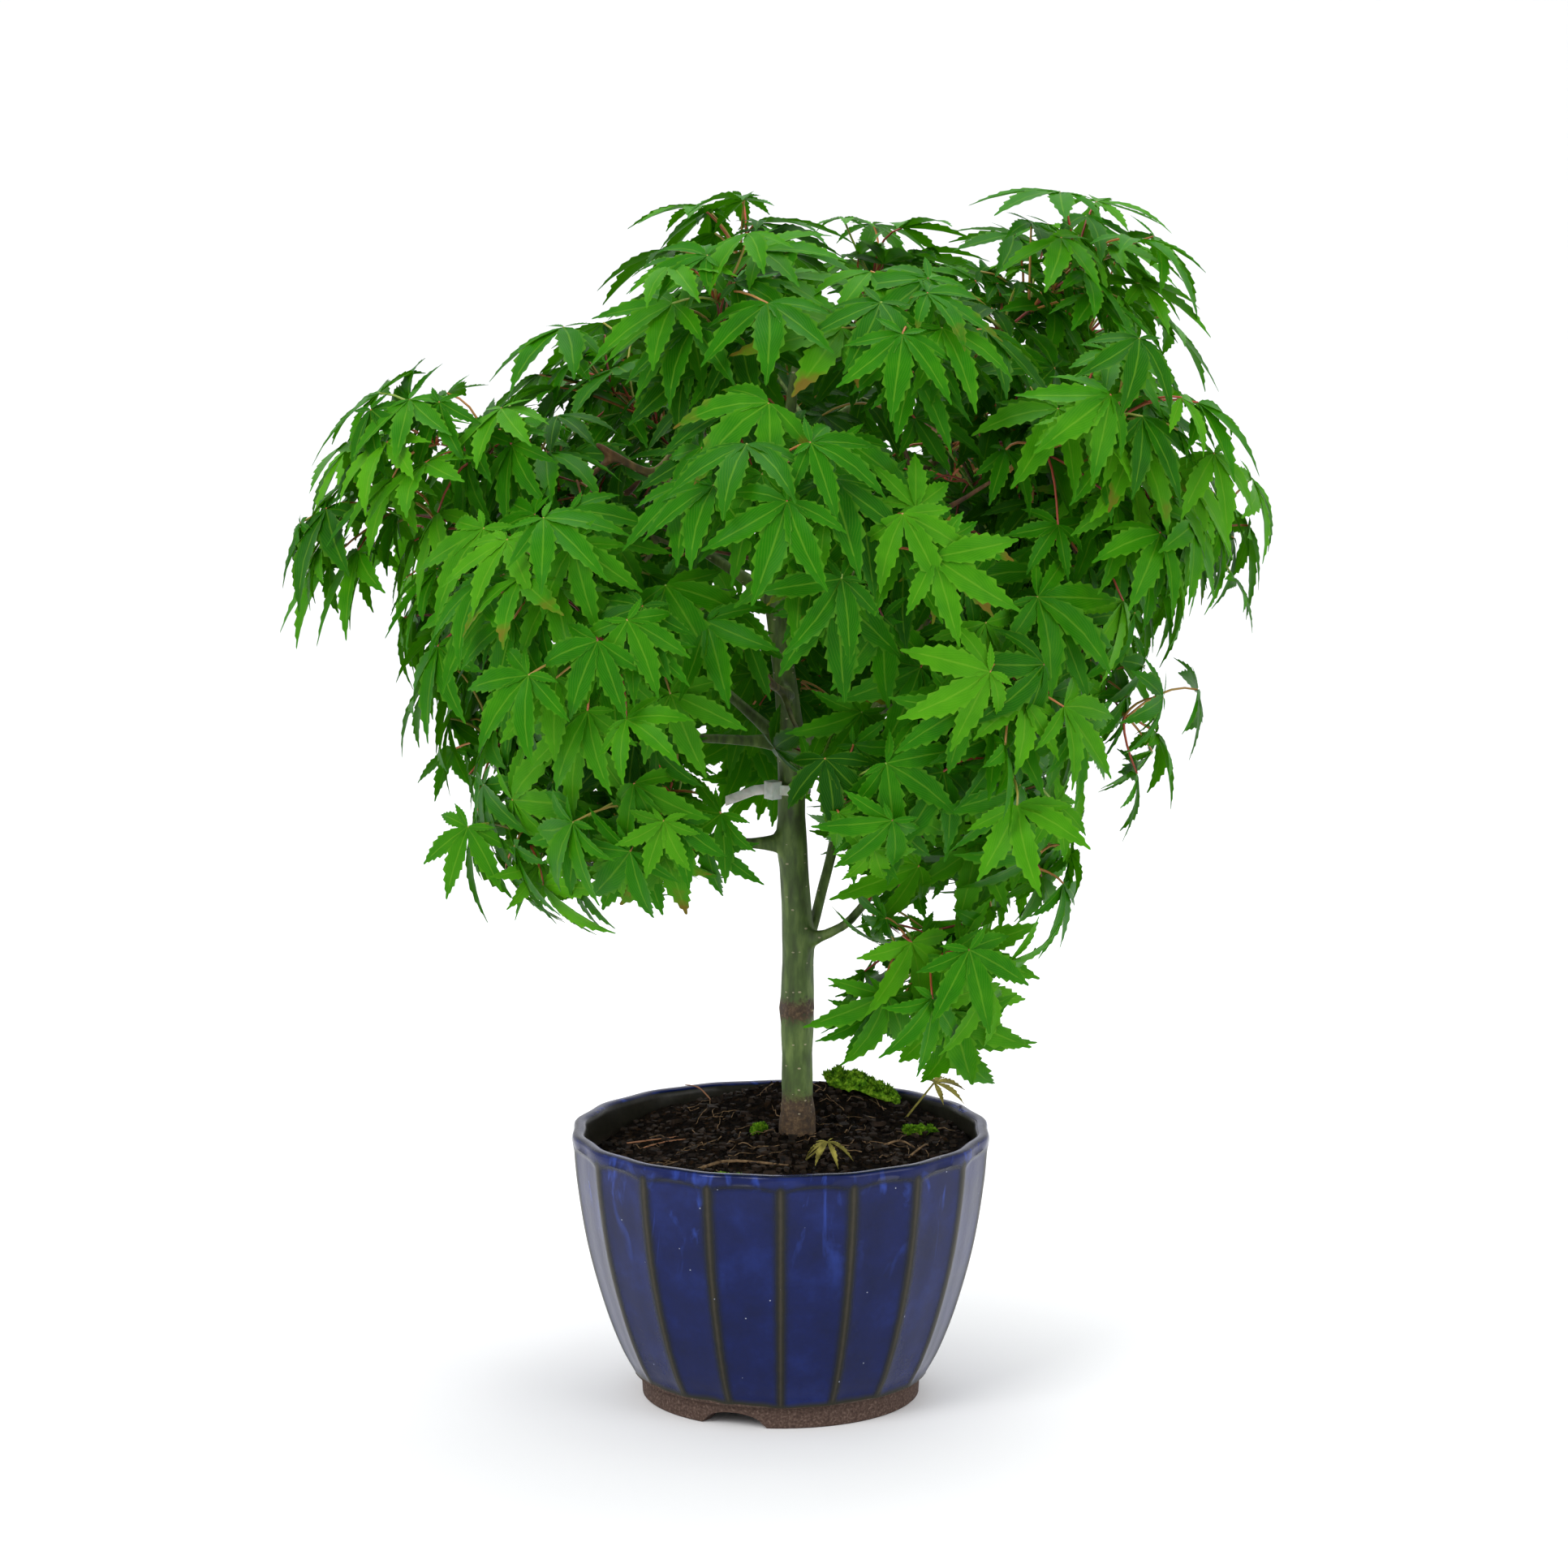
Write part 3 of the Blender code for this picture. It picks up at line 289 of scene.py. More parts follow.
@dataclass(frozen=True)
class CobaltGlaze(Finish):
    """Cobalt gloss glaze, poured and fired over brown stoneware.

    It lies deep and dark in the flutes, clouds paler where it is thick near the top, and breaks olive brown
    on the ridges and the lip where it ran thin. Below a wavy edge the bare clay shows, matt and brown.
    """

    glaze_edge: float = 11.8 * MM
    runs_from: float = 70.0 * MM
    runs_full: float = 112.0 * MM

    def blue(self, tree: Tree, place: Socket, height: Socket, cloud: Node) -> Node:
        """Adds the blue: dark clouds, with paler runs in the upper third where the glaze lies thick.

        Args:
            tree: the material's node tree.
            place: the Object coordinates.
            height: the height over the table.
            cloud: the clouds' noise.

        Returns:
            The node that gives the blue.
        """
        deep = add_node(
            tree, "ValToRGB", {0: cloud}, stops=[(0.30, "#09133b"), (0.52, "#0b1748"), (0.72, "#12215a")]
        )
        # runs about 17 mm wide and 45 mm long
        flow = add_node(tree, "Mapping", {"Vector": place, "Scale": (60.0, 60.0, 22.0)})
        streak = add_node(tree, "TexNoise", {"Vector": flow, "Scale": 1.0, "Detail": 6.0, "Distortion": 1.6})
        upper = add_node(
            tree, "MapRange", {"Value": height, "From Min": self.runs_from, "From Max": self.runs_full}
        )
        wisps = add_node(tree, "ValToRGB", {0: streak}, stops=[(0.57, 0.0), (0.70, 1.0)])
        share = add_node(tree, "Math", {0: upper, 1: wisps}, operation="MULTIPLY")
        share = add_node(tree, "Math", {0: share, 1: 0.60}, operation="MULTIPLY")
        return add_node(tree, "Mix", {"Factor": share, "A": deep, "B": linear("#2f4aa4")}, data_type="RGBA")

    def pits(self, tree: Tree, place: Socket) -> Node:
        """Adds pinholes about 0.7 mm wide, a few on each flute.

        Args:
            tree: the material's node tree.
            place: the Object coordinates.

        Returns:
            The node that is 1 in a pit.
        """
        # a cell each 1.6 mm, and one cell in 125 has a pit
        cells = add_node(tree, "TexVoronoi", {"Vector": place, "Scale": 620.0})
        tone = add_node(tree, "SeparateColor", {0: cells.outputs["Color"]})
        picked = add_node(tree, "Math", {0: tone, 1: 0.992}, operation="GREATER_THAN")
        dot = add_node(tree, "Math", {0: cells.outputs["Distance"], 1: 0.22}, operation="LESS_THAN")
        return add_node(tree, "Math", {0: picked, 1: dot}, operation="MULTIPLY")

    def paint(self, tree: Tree, place: Socket) -> dict[str, object]:
        """Adds the glaze, its breaks and its pits, and the bare foot.

        Args:
            tree: the material's node tree.
            place: the Object coordinates, in metres.

        Returns:
            The names of the shader's inputs, with what each is given.
        """
        height = add_node(tree, "SeparateXYZ", {0: place}).outputs["Z"]
        # clouds about 24 mm across, and a mottle of about 4 mm, as a poured glaze has
        clouds = {"Vector": place, "Scale": 42.0, "Detail": 5.0, "Roughness": 0.62}
        cloud = add_node(tree, "TexNoise", clouds)
        mottles = {"Vector": place, "Scale": 260.0, "Detail": 4.0, "Roughness": 0.6}
        mottle = add_node(tree, "TexNoise", mottles)
        blue = self.blue(tree, place, height, cloud)
        ridge = add_node(tree, "Attribute", attribute_name="thin_glaze").outputs["Fac"]
        uneven = add_node(tree, "MapRange", {"Value": mottle, "To Min": -0.11, "To Max": 0.11})
        thin = add_node(tree, "Math", {0: ridge, 1: uneven}, operation="ADD")
        broken = add_node(
            tree, "MapRange", {"Value": thin, "From Max": 0.80}, interpolation_type="SMOOTHSTEP"
        )
        brown = add_node(
            tree, "ValToRGB", {0: thin},
            stops=[(0.20, "#0c1120"), (0.55, "#14171a"), (0.80, "#201f18"), (0.97, "#353127")],
        )
        glaze = add_node(tree, "Mix", {"Factor": broken, "A": blue, "B": brown}, data_type="RGBA")
        pit = self.pits(tree, place)
        pitted = add_node(tree, "Mix", {"Factor": pit, "A": glaze, "B": linear("#8f95a6")}, data_type="RGBA")
        # clay with grit of about 1 mm
        grit = add_node(tree, "TexNoise", {"Vector": place, "Scale": 900.0, "Detail": 3.0})
        clay = add_node(
            tree, "ValToRGB", {0: grit}, stops=[(0.30, "#3a2c26"), (0.55, "#514038"), (0.72, "#6c5a50")]
        )
        # the glaze ends in waves about 22 mm long
        wave = add_node(tree, "TexNoise", {"Vector": place, "Scale": 45.0, "Detail": 1.0})
        lowered = add_node(tree, "MapRange", {"Value": wave, "To Min": -2.2 * MM, "To Max": 2.2 * MM})
        level = add_node(tree, "Math", {0: height, 1: lowered}, operation="ADD")
        low, high = self.glaze_edge - 0.4 * MM, self.glaze_edge + 0.4 * MM
        covered = add_node(tree, "MapRange", {"Value": level, "From Min": low, "From Max": high})
        far, near = self.glaze_edge + 3.2 * MM, self.glaze_edge + 0.8 * MM
        edge = add_node(tree, "MapRange", {"Value": level, "From Min": far, "From Max": near})
        roll = {"Factor": edge, "A": pitted, "B": linear("#26261c")}
        rolled = add_node(tree, "Mix", roll, data_type="RGBA")
        bare = add_node(tree, "Attribute", attribute_name="bare").outputs["Fac"]
        glazed = add_node(tree, "Math", {0: covered, 1: bare}, operation="SUBTRACT", use_clamp=True)
        gloss = add_node(tree, "MapRange", {"Value": broken, "To Min": 0.16, "To Max": 0.32})
        ripple = add_node(tree, "Mix", {"Factor": 0.35, "A": cloud, "B": mottle})
        sunk = add_node(tree, "Math", {0: ripple, 1: pit}, operation="SUBTRACT")
        return {
            "Base Color": add_node(tree, "Mix", {"Factor": glazed, "A": clay, "B": rolled}, data_type="RGBA"),
            "Roughness": add_node(tree, "Mix", {"Factor": glazed, "A": 0.88, "B": gloss}),
            "Specular IOR Level": 0.20,
            "Normal": add_node(tree, "Bump", {"Height": sunk, "Distance": 0.6 * MM, "Strength": 0.35}),
        }


@dataclass(frozen=True)
class DampPeat(Finish):
    """Damp peat and bark crumbs: nearly black, with browner fibres and no shine but a little damp."""

    def paint(self, tree: Tree, place: Socket) -> dict[str, object]:
        """Adds crumbs of about 2 mm in several browns.

        Args:
            tree: the material's node tree.
            place: the Object coordinates, in metres.

        Returns:
            The names of the shader's inputs, with what each is given.
        """
        crumbs = add_node(tree, "TexVoronoi", {"Vector": place, "Scale": 480.0})
        grain = add_node(tree, "TexNoise", {"Vector": place, "Scale": 300.0, "Detail": 6.0, "Roughness": 0.7})
        tone = add_node(tree, "SeparateColor", {0: crumbs.outputs["Color"]})
        mixed = add_node(tree, "Mix", {"Factor": 0.5, "A": tone, "B": grain})
        browns = [(0.20, "#060403"), (0.45, "#0e0a07"), (0.66, "#19120b"), (0.86, "#352415")]
        return {
            "Base Color": add_node(tree, "ValToRGB", {0: mixed}, stops=browns),
            "Roughness": 0.90,
            "Specular IOR Level": 0.04,
            "Normal": add_node(tree, "Bump", {"Height": grain, "Distance": 2.0 * MM, "Strength": 0.8}),
        }


@dataclass(frozen=True)
class MapleBark(Finish):
    """Living maple bark: smooth olive green, rough and brown at the foot, red brown on the young wood."""

    foot_top: float = 146.0 * MM
    callus: float = CALLUS

    def pores(self, tree: Tree, place: Socket) -> Node:
        """Adds the pale breathing pores, under 1 mm wide and flatter than they are wide.

        Args:
            tree: the material's node tree.
            place: the Object coordinates.

        Returns:
            The node that is over 0 in a pore.
        """
        # a cell is 3 mm wide and 1.6 mm tall, and one in ten has a pore
        flat = add_node(tree, "Mapping", {"Vector": place, "Scale": (330.0, 330.0, 620.0)})
        cells = add_node(tree, "TexVoronoi", {"Vector": flat, "Scale": 1.0})
        seed = add_node(tree, "SeparateColor", {0: cells.outputs["Color"]})
        some = add_node(tree, "Math", {0: seed, 1: 0.90}, operation="GREATER_THAN")
        near = add_node(tree, "Math", {0: cells.outputs["Distance"], 1: 0.26}, operation="LESS_THAN")
        pore = add_node(tree, "Math", {0: some, 1: near}, operation="MULTIPLY")
        return add_node(tree, "Math", {0: pore, 1: 0.7}, operation="MULTIPLY")

    def paint(self, tree: Tree, place: Socket) -> dict[str, object]:
        """Adds the three ages of bark, the callus ring and the pores.

        Args:
            tree: the material's node tree.
            place: the Object coordinates, in metres.

        Returns:
            The names of the shader's inputs, with what each is given.
        """
        height = add_node(tree, "SeparateXYZ", {0: place}).outputs["Z"]
        # streaks about 4 mm wide and 14 mm tall
        tall = add_node(tree, "Mapping", {"Vector": place, "Scale": (260.0, 260.0, 70.0)})
        grain = add_node(tree, "TexNoise", {"Vector": tall, "Scale": 1.0, "Detail": 5.0})
        greens = [(0.30, "#38461c"), (0.50, "#4c6427"), (0.70, "#6d8440")]
        green = add_node(tree, "ValToRGB", {0: grain}, stops=greens)
        rough = add_node(tree, "TexNoise", {"Vector": place, "Scale": 420.0, "Detail": 6.0, "Roughness": 0.7})
        browns = [(0.32, "#2c1f12"), (0.52, "#4b3720"), (0.72, "#7a6242")]
        brown = add_node(tree, "ValToRGB", {0: rough}, stops=browns)
        reds = [(0.30, "#4a2f20"), (0.60, "#7a4a30"), (0.80, "#8d6a48")]
        red = add_node(tree, "ValToRGB", {0: grain}, stops=reds)
        ragged = add_node(tree, "MapRange", {"Value": rough, "To Min": -8.0 * MM, "To Max": 8.0 * MM})
        level = add_node(tree, "Math", {0: height, 1: ragged}, operation="ADD")
        high, low = self.foot_top + 3.0 * MM, self.foot_top - 3.0 * MM
        foot = add_node(tree, "MapRange", {"Value": level, "From Min": high, "From Max": low})
        away = add_node(tree, "Math", {0: level, 1: self.callus}, operation="SUBTRACT")
        away = add_node(tree, "Math", {0: away}, operation="ABSOLUTE")
        ring = add_node(tree, "MapRange", {"Value": away, "From Min": 6.5 * MM, "From Max": 3.0 * MM})
        aged = add_node(tree, "Math", {0: foot, 1: ring}, operation="MAXIMUM")
        youth = add_node(tree, "Attribute", attribute_name="youth").outputs["Fac"]
        living = add_node(tree, "Mix", {"Factor": youth, "A": green, "B": red}, data_type="RGBA")
        bark = add_node(tree, "Mix", {"Factor": aged, "A": living, "B": brown}, data_type="RGBA")
        pore = self.pores(tree, place)
        relief = add_node(tree, "Mix", {"Factor": aged, "A": grain, "B": rough})
        return {
            "Base Color": add_node(
                tree, "Mix", {"Factor": pore, "A": bark, "B": linear("#b9ad8c")}, data_type="RGBA"
            ),
            "Roughness": 0.62,
            "Normal": add_node(tree, "Bump", {"Height": relief, "Distance": 1.2 * MM, "Strength": 0.55}),
        }


@dataclass(frozen=True)
class LivingLeaf(Finish):
    """A thin living leaf: waxy green above with a pale rib and margin, and light comes through it."""

    # dark to bright greens: painted shade for leaves deep in the crown, painted sunlight for the outer
    # leaves, with the leaves' own random tone between
    dark: str = "#0c4203"
    middle: str = "#236b03"
    bright: str = "#4c9210"
    pale: str = "#7cab2c"
    burnt: str = "#6c5a1c"
    through: str = "#4a9a02"
    vein_waves: float = 62.0

    def paint(self, tree: Tree, place: Socket) -> dict[str, object]:
        """Adds the green of each leaf from its tint, which holds painted shade and painted sunlight from the
        leaf's place in the crown as well as a random tone, with ribs, side veins, margins and brown tips.

        Args:
            tree: the material's node tree.
            place: the Object coordinates, in metres.

        Returns:
            The names of the shader's inputs, with what each is given.
        """
        tint, across, along, burnt = (
            add_node(tree, "Attribute", attribute_name=name).outputs["Fac"]
            for name in ("tint", "across", "along", "burnt")
        )
        # paler and darker patches about 13 mm across, so a leaf has two or three
        blotch = add_node(tree, "TexNoise", {"Vector": place, "Scale": 75.0, "Detail": 3.0})
        spread = add_node(tree, "MapRange", {"Value": blotch, "To Min": -0.22, "To Max": 0.22})
        tone = add_node(tree, "Math", {0: tint, 1: spread}, operation="ADD")
        # the dark end of these greens is painted shade for leaves deep in the crown, the bright end painted
        # sunlight on the outer leaves
        greens = [(0.08, self.dark), (0.50, self.middle), (0.92, self.bright)]
        green = add_node(tree, "ValToRGB", {0: tone}, stops=greens)
        rib = add_node(
            tree, "MapRange", {"Value": across, "From Min": 0.12, "From Max": 0.01, "To Max": 0.36}
        )
        margin = add_node(
            tree, "MapRange", {"Value": across, "From Min": 0.86, "From Max": 1.0, "To Max": 0.26}
        )
        slant = add_node(tree, "Math", {0: across, 1: 0.55, 2: along}, operation="MULTIPLY_ADD")
        wave = add_node(tree, "Math", {0: slant, 1: self.vein_waves}, operation="MULTIPLY")
        vein = add_node(tree, "Math", {0: wave}, operation="SINE")
        vein = add_node(tree, "MapRange", {"Value": vein, "From Min": 0.70, "To Max": 0.14})
        lines = add_node(tree, "Math", {0: rib, 1: margin}, operation="MAXIMUM")
        lines = add_node(tree, "Math", {0: lines, 1: vein}, operation="MAXIMUM")
        net = {"Factor": lines, "A": green, "B": linear(self.pale)}
        veined = add_node(tree, "Mix", net, data_type="RGBA")
        burn = add_node(tree, "Math", {0: burnt, 1: blotch}, operation="MULTIPLY")
        burn = add_node(tree, "MapRange", {"Value": burn, "From Min": 0.34, "From Max": 0.52})
        lift = add_node(tree, "Math", {0: vein, 1: rib}, operation="ADD")
        light = add_node(tree, "BsdfTranslucent", {"Color": linear(self.through)})
        both = add_node(tree, "MixShader", {0: 0.20, 1: tree.nodes["Principled BSDF"], 2: light})
        plug(tree, tree.nodes["Material Output"].inputs["Surface"], both)
        return {
            "Base Color": add_node(
                tree, "Mix", {"Factor": burn, "A": veined, "B": linear(self.burnt)}, data_type="RGBA"
            ),
            "Roughness": 0.40,
            "Specular IOR Level": 0.06,
            "Normal": add_node(tree, "Bump", {"Height": lift, "Distance": 0.4 * MM, "Strength": 0.4}),
        }


@dataclass(frozen=True)
class LeafStalk(Finish):
    """Leaf stalks and this year's twigs: smooth, round, from lime green to tomato red in the sun."""

    def paint(self, tree: Tree, place: Socket) -> dict[str, object]:
        """Adds the colour from each stalk's own redness.

        Args:
            tree: the material's node tree.
            place: the Object coordinates, in metres.

        Returns:
            The names of the shader's inputs, with what each is given.
        """
        patch = add_node(tree, "TexNoise", {"Vector": place, "Scale": 90.0, "Detail": 2.0})
        vary = add_node(tree, "MapRange", {"Value": patch, "To Min": -0.15, "To Max": 0.15})
        tint = add_node(tree, "Attribute", attribute_name="tint").outputs["Fac"]
        red = add_node(tree, "Math", {0: tint, 1: vary}, operation="ADD")
        tones = [(0.10, "#7f9a38"), (0.45, "#a8793a"), (0.75, "#a5452c"), (1.0, "#7c3426")]
        return {"Base Color": add_node(tree, "ValToRGB", {0: red}, stops=tones), "Roughness": 0.45}


@dataclass(frozen=True)
class Grained(Finish):
    """A material whose only pattern is a fine grain in a few tones."""

    scale: float
    tones: tuple[tuple[float, str], ...]
    detail: float = 5.0
    mix: float = 0.5
    roughness: float = 0.80
    shine: float = 0.20
    relief: float = 0.8 * MM
    strength: float = 0.5
    depth_of_light: float = 0.0

    def paint(self, tree: Tree, place: Socket) -> dict[str, object]:
        """Adds the grain, its tones and its relief.

        Args:
            tree: the material's node tree.
            place: the Object coordinates, in metres.

        Returns:
            The names of the shader's inputs, with what each is given.
        """
        settings = {"Vector": place, "Scale": self.scale, "Detail": self.detail, "Roughness": self.mix}
        grain = add_node(tree, "TexNoise", settings)
        given = {
            "Base Color": add_node(tree, "ValToRGB", {0: grain}, stops=self.tones),
            "Roughness": self.roughness,
            "Specular IOR Level": self.shine,
        }
        if self.relief:
            height = {"Height": grain, "Distance": self.relief, "Strength": self.strength}
            given["Normal"] = add_node(tree, "Bump", height)
        if self.depth_of_light:
            given["Subsurface Weight"] = self.depth_of_light
            given["Subsurface Scale"] = 2.0 * MM
        return given


@dataclass(frozen=True)
class StudioPaper(Finish):
    """Matt white background paper."""

    def paint(self, tree: Tree, place: Socket) -> dict[str, object]:
        """Gives the even white."""
        return {"Base Color": linear("#f4f4f4"), "Roughness": 0.9}


class Wear(Enum):
    """The finishes, one for each kind of surface."""

    GLAZE = CobaltGlaze("cobalt_glaze_on_stoneware")
    PEAT = DampPeat("damp_peat")
    BARK = MapleBark("living_maple_bark")
    LEAF = LivingLeaf("living_maple_leaf")
    STALK = LeafStalk("maple_leaf_stalk")
    PAPER = StudioPaper("white_paper")
    # dead plant matter: dull, fibrous, darker where it is damp
    CRUMB = Grained("bark_crumb", 260.0, ((0.32, "#080604"), (0.68, "#2e2115")))
    NEEDLE = Grained("dry_needle", 500.0, ((0.32, "#6a3a20"), (0.68, "#c08050")))
    DEAD_WOOD = Grained("dead_root_wood", 420.0, ((0.32, "#3d2c1c"), (0.68, "#8a7050")))
    DRY_LEAF = Grained("withered_leaf", 160.0, ((0.32, "#4f4a1c"), (0.68, "#a39a4a")))
    # natural moulded nylon: milky white, a little light in its thickness, with a soft shine
    NYLON = Grained(
        "natural_nylon", 220.0, ((0.35, "#c3c9bd"), (0.60, "#e4e8e2")), detail=4.0, roughness=0.36, shine=0.5,
        relief=0.3 * MM, strength=0.3, depth_of_light=0.25,
    )
    # cushion moss: tiny bright green leaves over a darker bed, in patches a few millimetres across
    MOSS = Grained(
        "cushion_moss", 420.0, ((0.26, "#1f3808"), (0.42, "#4a7f14"), (0.56, "#7fb024"), (0.74, "#b4d24c")),
        mix=0.7, roughness=0.88, shine=0.10, relief=1.6 * MM, strength=0.8,
    )
    # black moulded polythene net, matt with a little dust
    NET = Grained(
        "black_polythene_net", 350.0, ((0.40, "#161616"), (0.75, "#3a3733")), detail=4.0, roughness=0.55,
        shine=0.5, relief=0.0,
    )


# --------------------------------------------------------------------------------------------- the studio


@dataclass
class Studio:
    """White paper sweep, soft lights and the camera."""

    eye: tuple[float, float, float] = (0.0016, -2.57, 0.748)
    target: tuple[float, float, float] = (0.0016, 0.0, 0.2957)
    focal_length: float = 127.0
    sensor: float = 36.0
    pale: float = 0.90
    floor: float = 7.0
    wall: float = 5.0
    sweep: float = 1.6
    lit: tuple[float, float, float] = (0.0, 0.0, 0.30)

    def add_paper(self) -> None:
        """Adds the floor and the wall behind it in one sweep."""
        deselect()
        bpy.ops.mesh.primitive_plane_add(size=self.floor, location=(0, 0, 0))
        paper = bpy.context.object
        paper.name = "paper_sweep"
        bpy.ops.object.mode_set(mode="EDIT")
        bpy.ops.mesh.select_all(action="DESELECT")
        shape = bmesh.from_edit_mesh(paper.data)
        for edge in shape.edges:
            edge.select = all(v.co.y > self.floor / 2 - 0.5 for v in edge.verts)
        shape.select_flush_mode()
        bmesh.update_edit_mesh(paper.data)
        bpy.ops.mesh.extrude_region_move(TRANSFORM_OT_translate={"value": (0, 0, self.wall)})
        bpy.ops.object.mode_set(mode="OBJECT")
        add_modifier(paper, "BEVEL", width=self.sweep, segments=16, limit_method="ANGLE")
        smooth(paper, 60)
        Wear.PAPER.value.dress(paper)

    def add_light(self, name: str, place: tuple[float, float, float], size: float, power: float) -> None:
        """Adds a square soft box aimed at the middle of the tree.

        Args:
            name: its name.
            place: its middle, in metres.
            size: the length of its side, in metres.
            power: its power, in watts.
        """
        data = bpy.data.lights.new(name, "AREA")
        data.size = size
        data.energy = power
        lamp = bpy.data.objects.new(name, data)
        lamp.location = place
        lamp.rotation_euler = (Vector(self.lit) - Vector(place)).to_track_quat("-Z", "Y").to_euler()
        bpy.context.scene.collection.objects.link(lamp)

    def add_sky(self) -> None:
        """Adds an even pale surrounding."""
        world = bpy.data.worlds.new("pale_room")
        world.use_nodes = True
        backdrop = world.node_tree.nodes["Background"]
        backdrop.inputs["Color"].default_value = linear("#fbfcff")
        backdrop.inputs["Strength"].default_value = self.pale
        bpy.context.scene.world = world

    def add_camera(self) -> None:
        """Adds the camera, a little over the top of the crown and looking down at it."""
        data = bpy.data.cameras.new("front")
        data.lens = self.focal_length
        data.sensor_width = self.sensor
        data.clip_end = 30.0
        camera = bpy.data.objects.new("front", data)
        camera.location = self.eye
        camera.rotation_euler = (Vector(self.target) - Vector(self.eye)).to_track_quat("-Z", "Y").to_euler()
        bpy.context.scene.collection.objects.link(camera)
        bpy.context.scene.camera = camera

    def build(self) -> None:
        """Builds the whole studio."""
        self.add_paper()
        self.add_light("key_left", (-1.5, -1.9, 1.9), 1.3, 40.0)
        self.add_light("fill_right", (1.9, -1.5, 1.2), 1.5, 18.0)
        self.add_light("top", (0.2, 0.5, 2.2), 1.4, 24.0)
        self.add_sky()
        self.add_camera()
        bpy.context.scene.view_settings.view_transform = "Standard"


# ------------------------------------------------------------------------------------------------ the pot


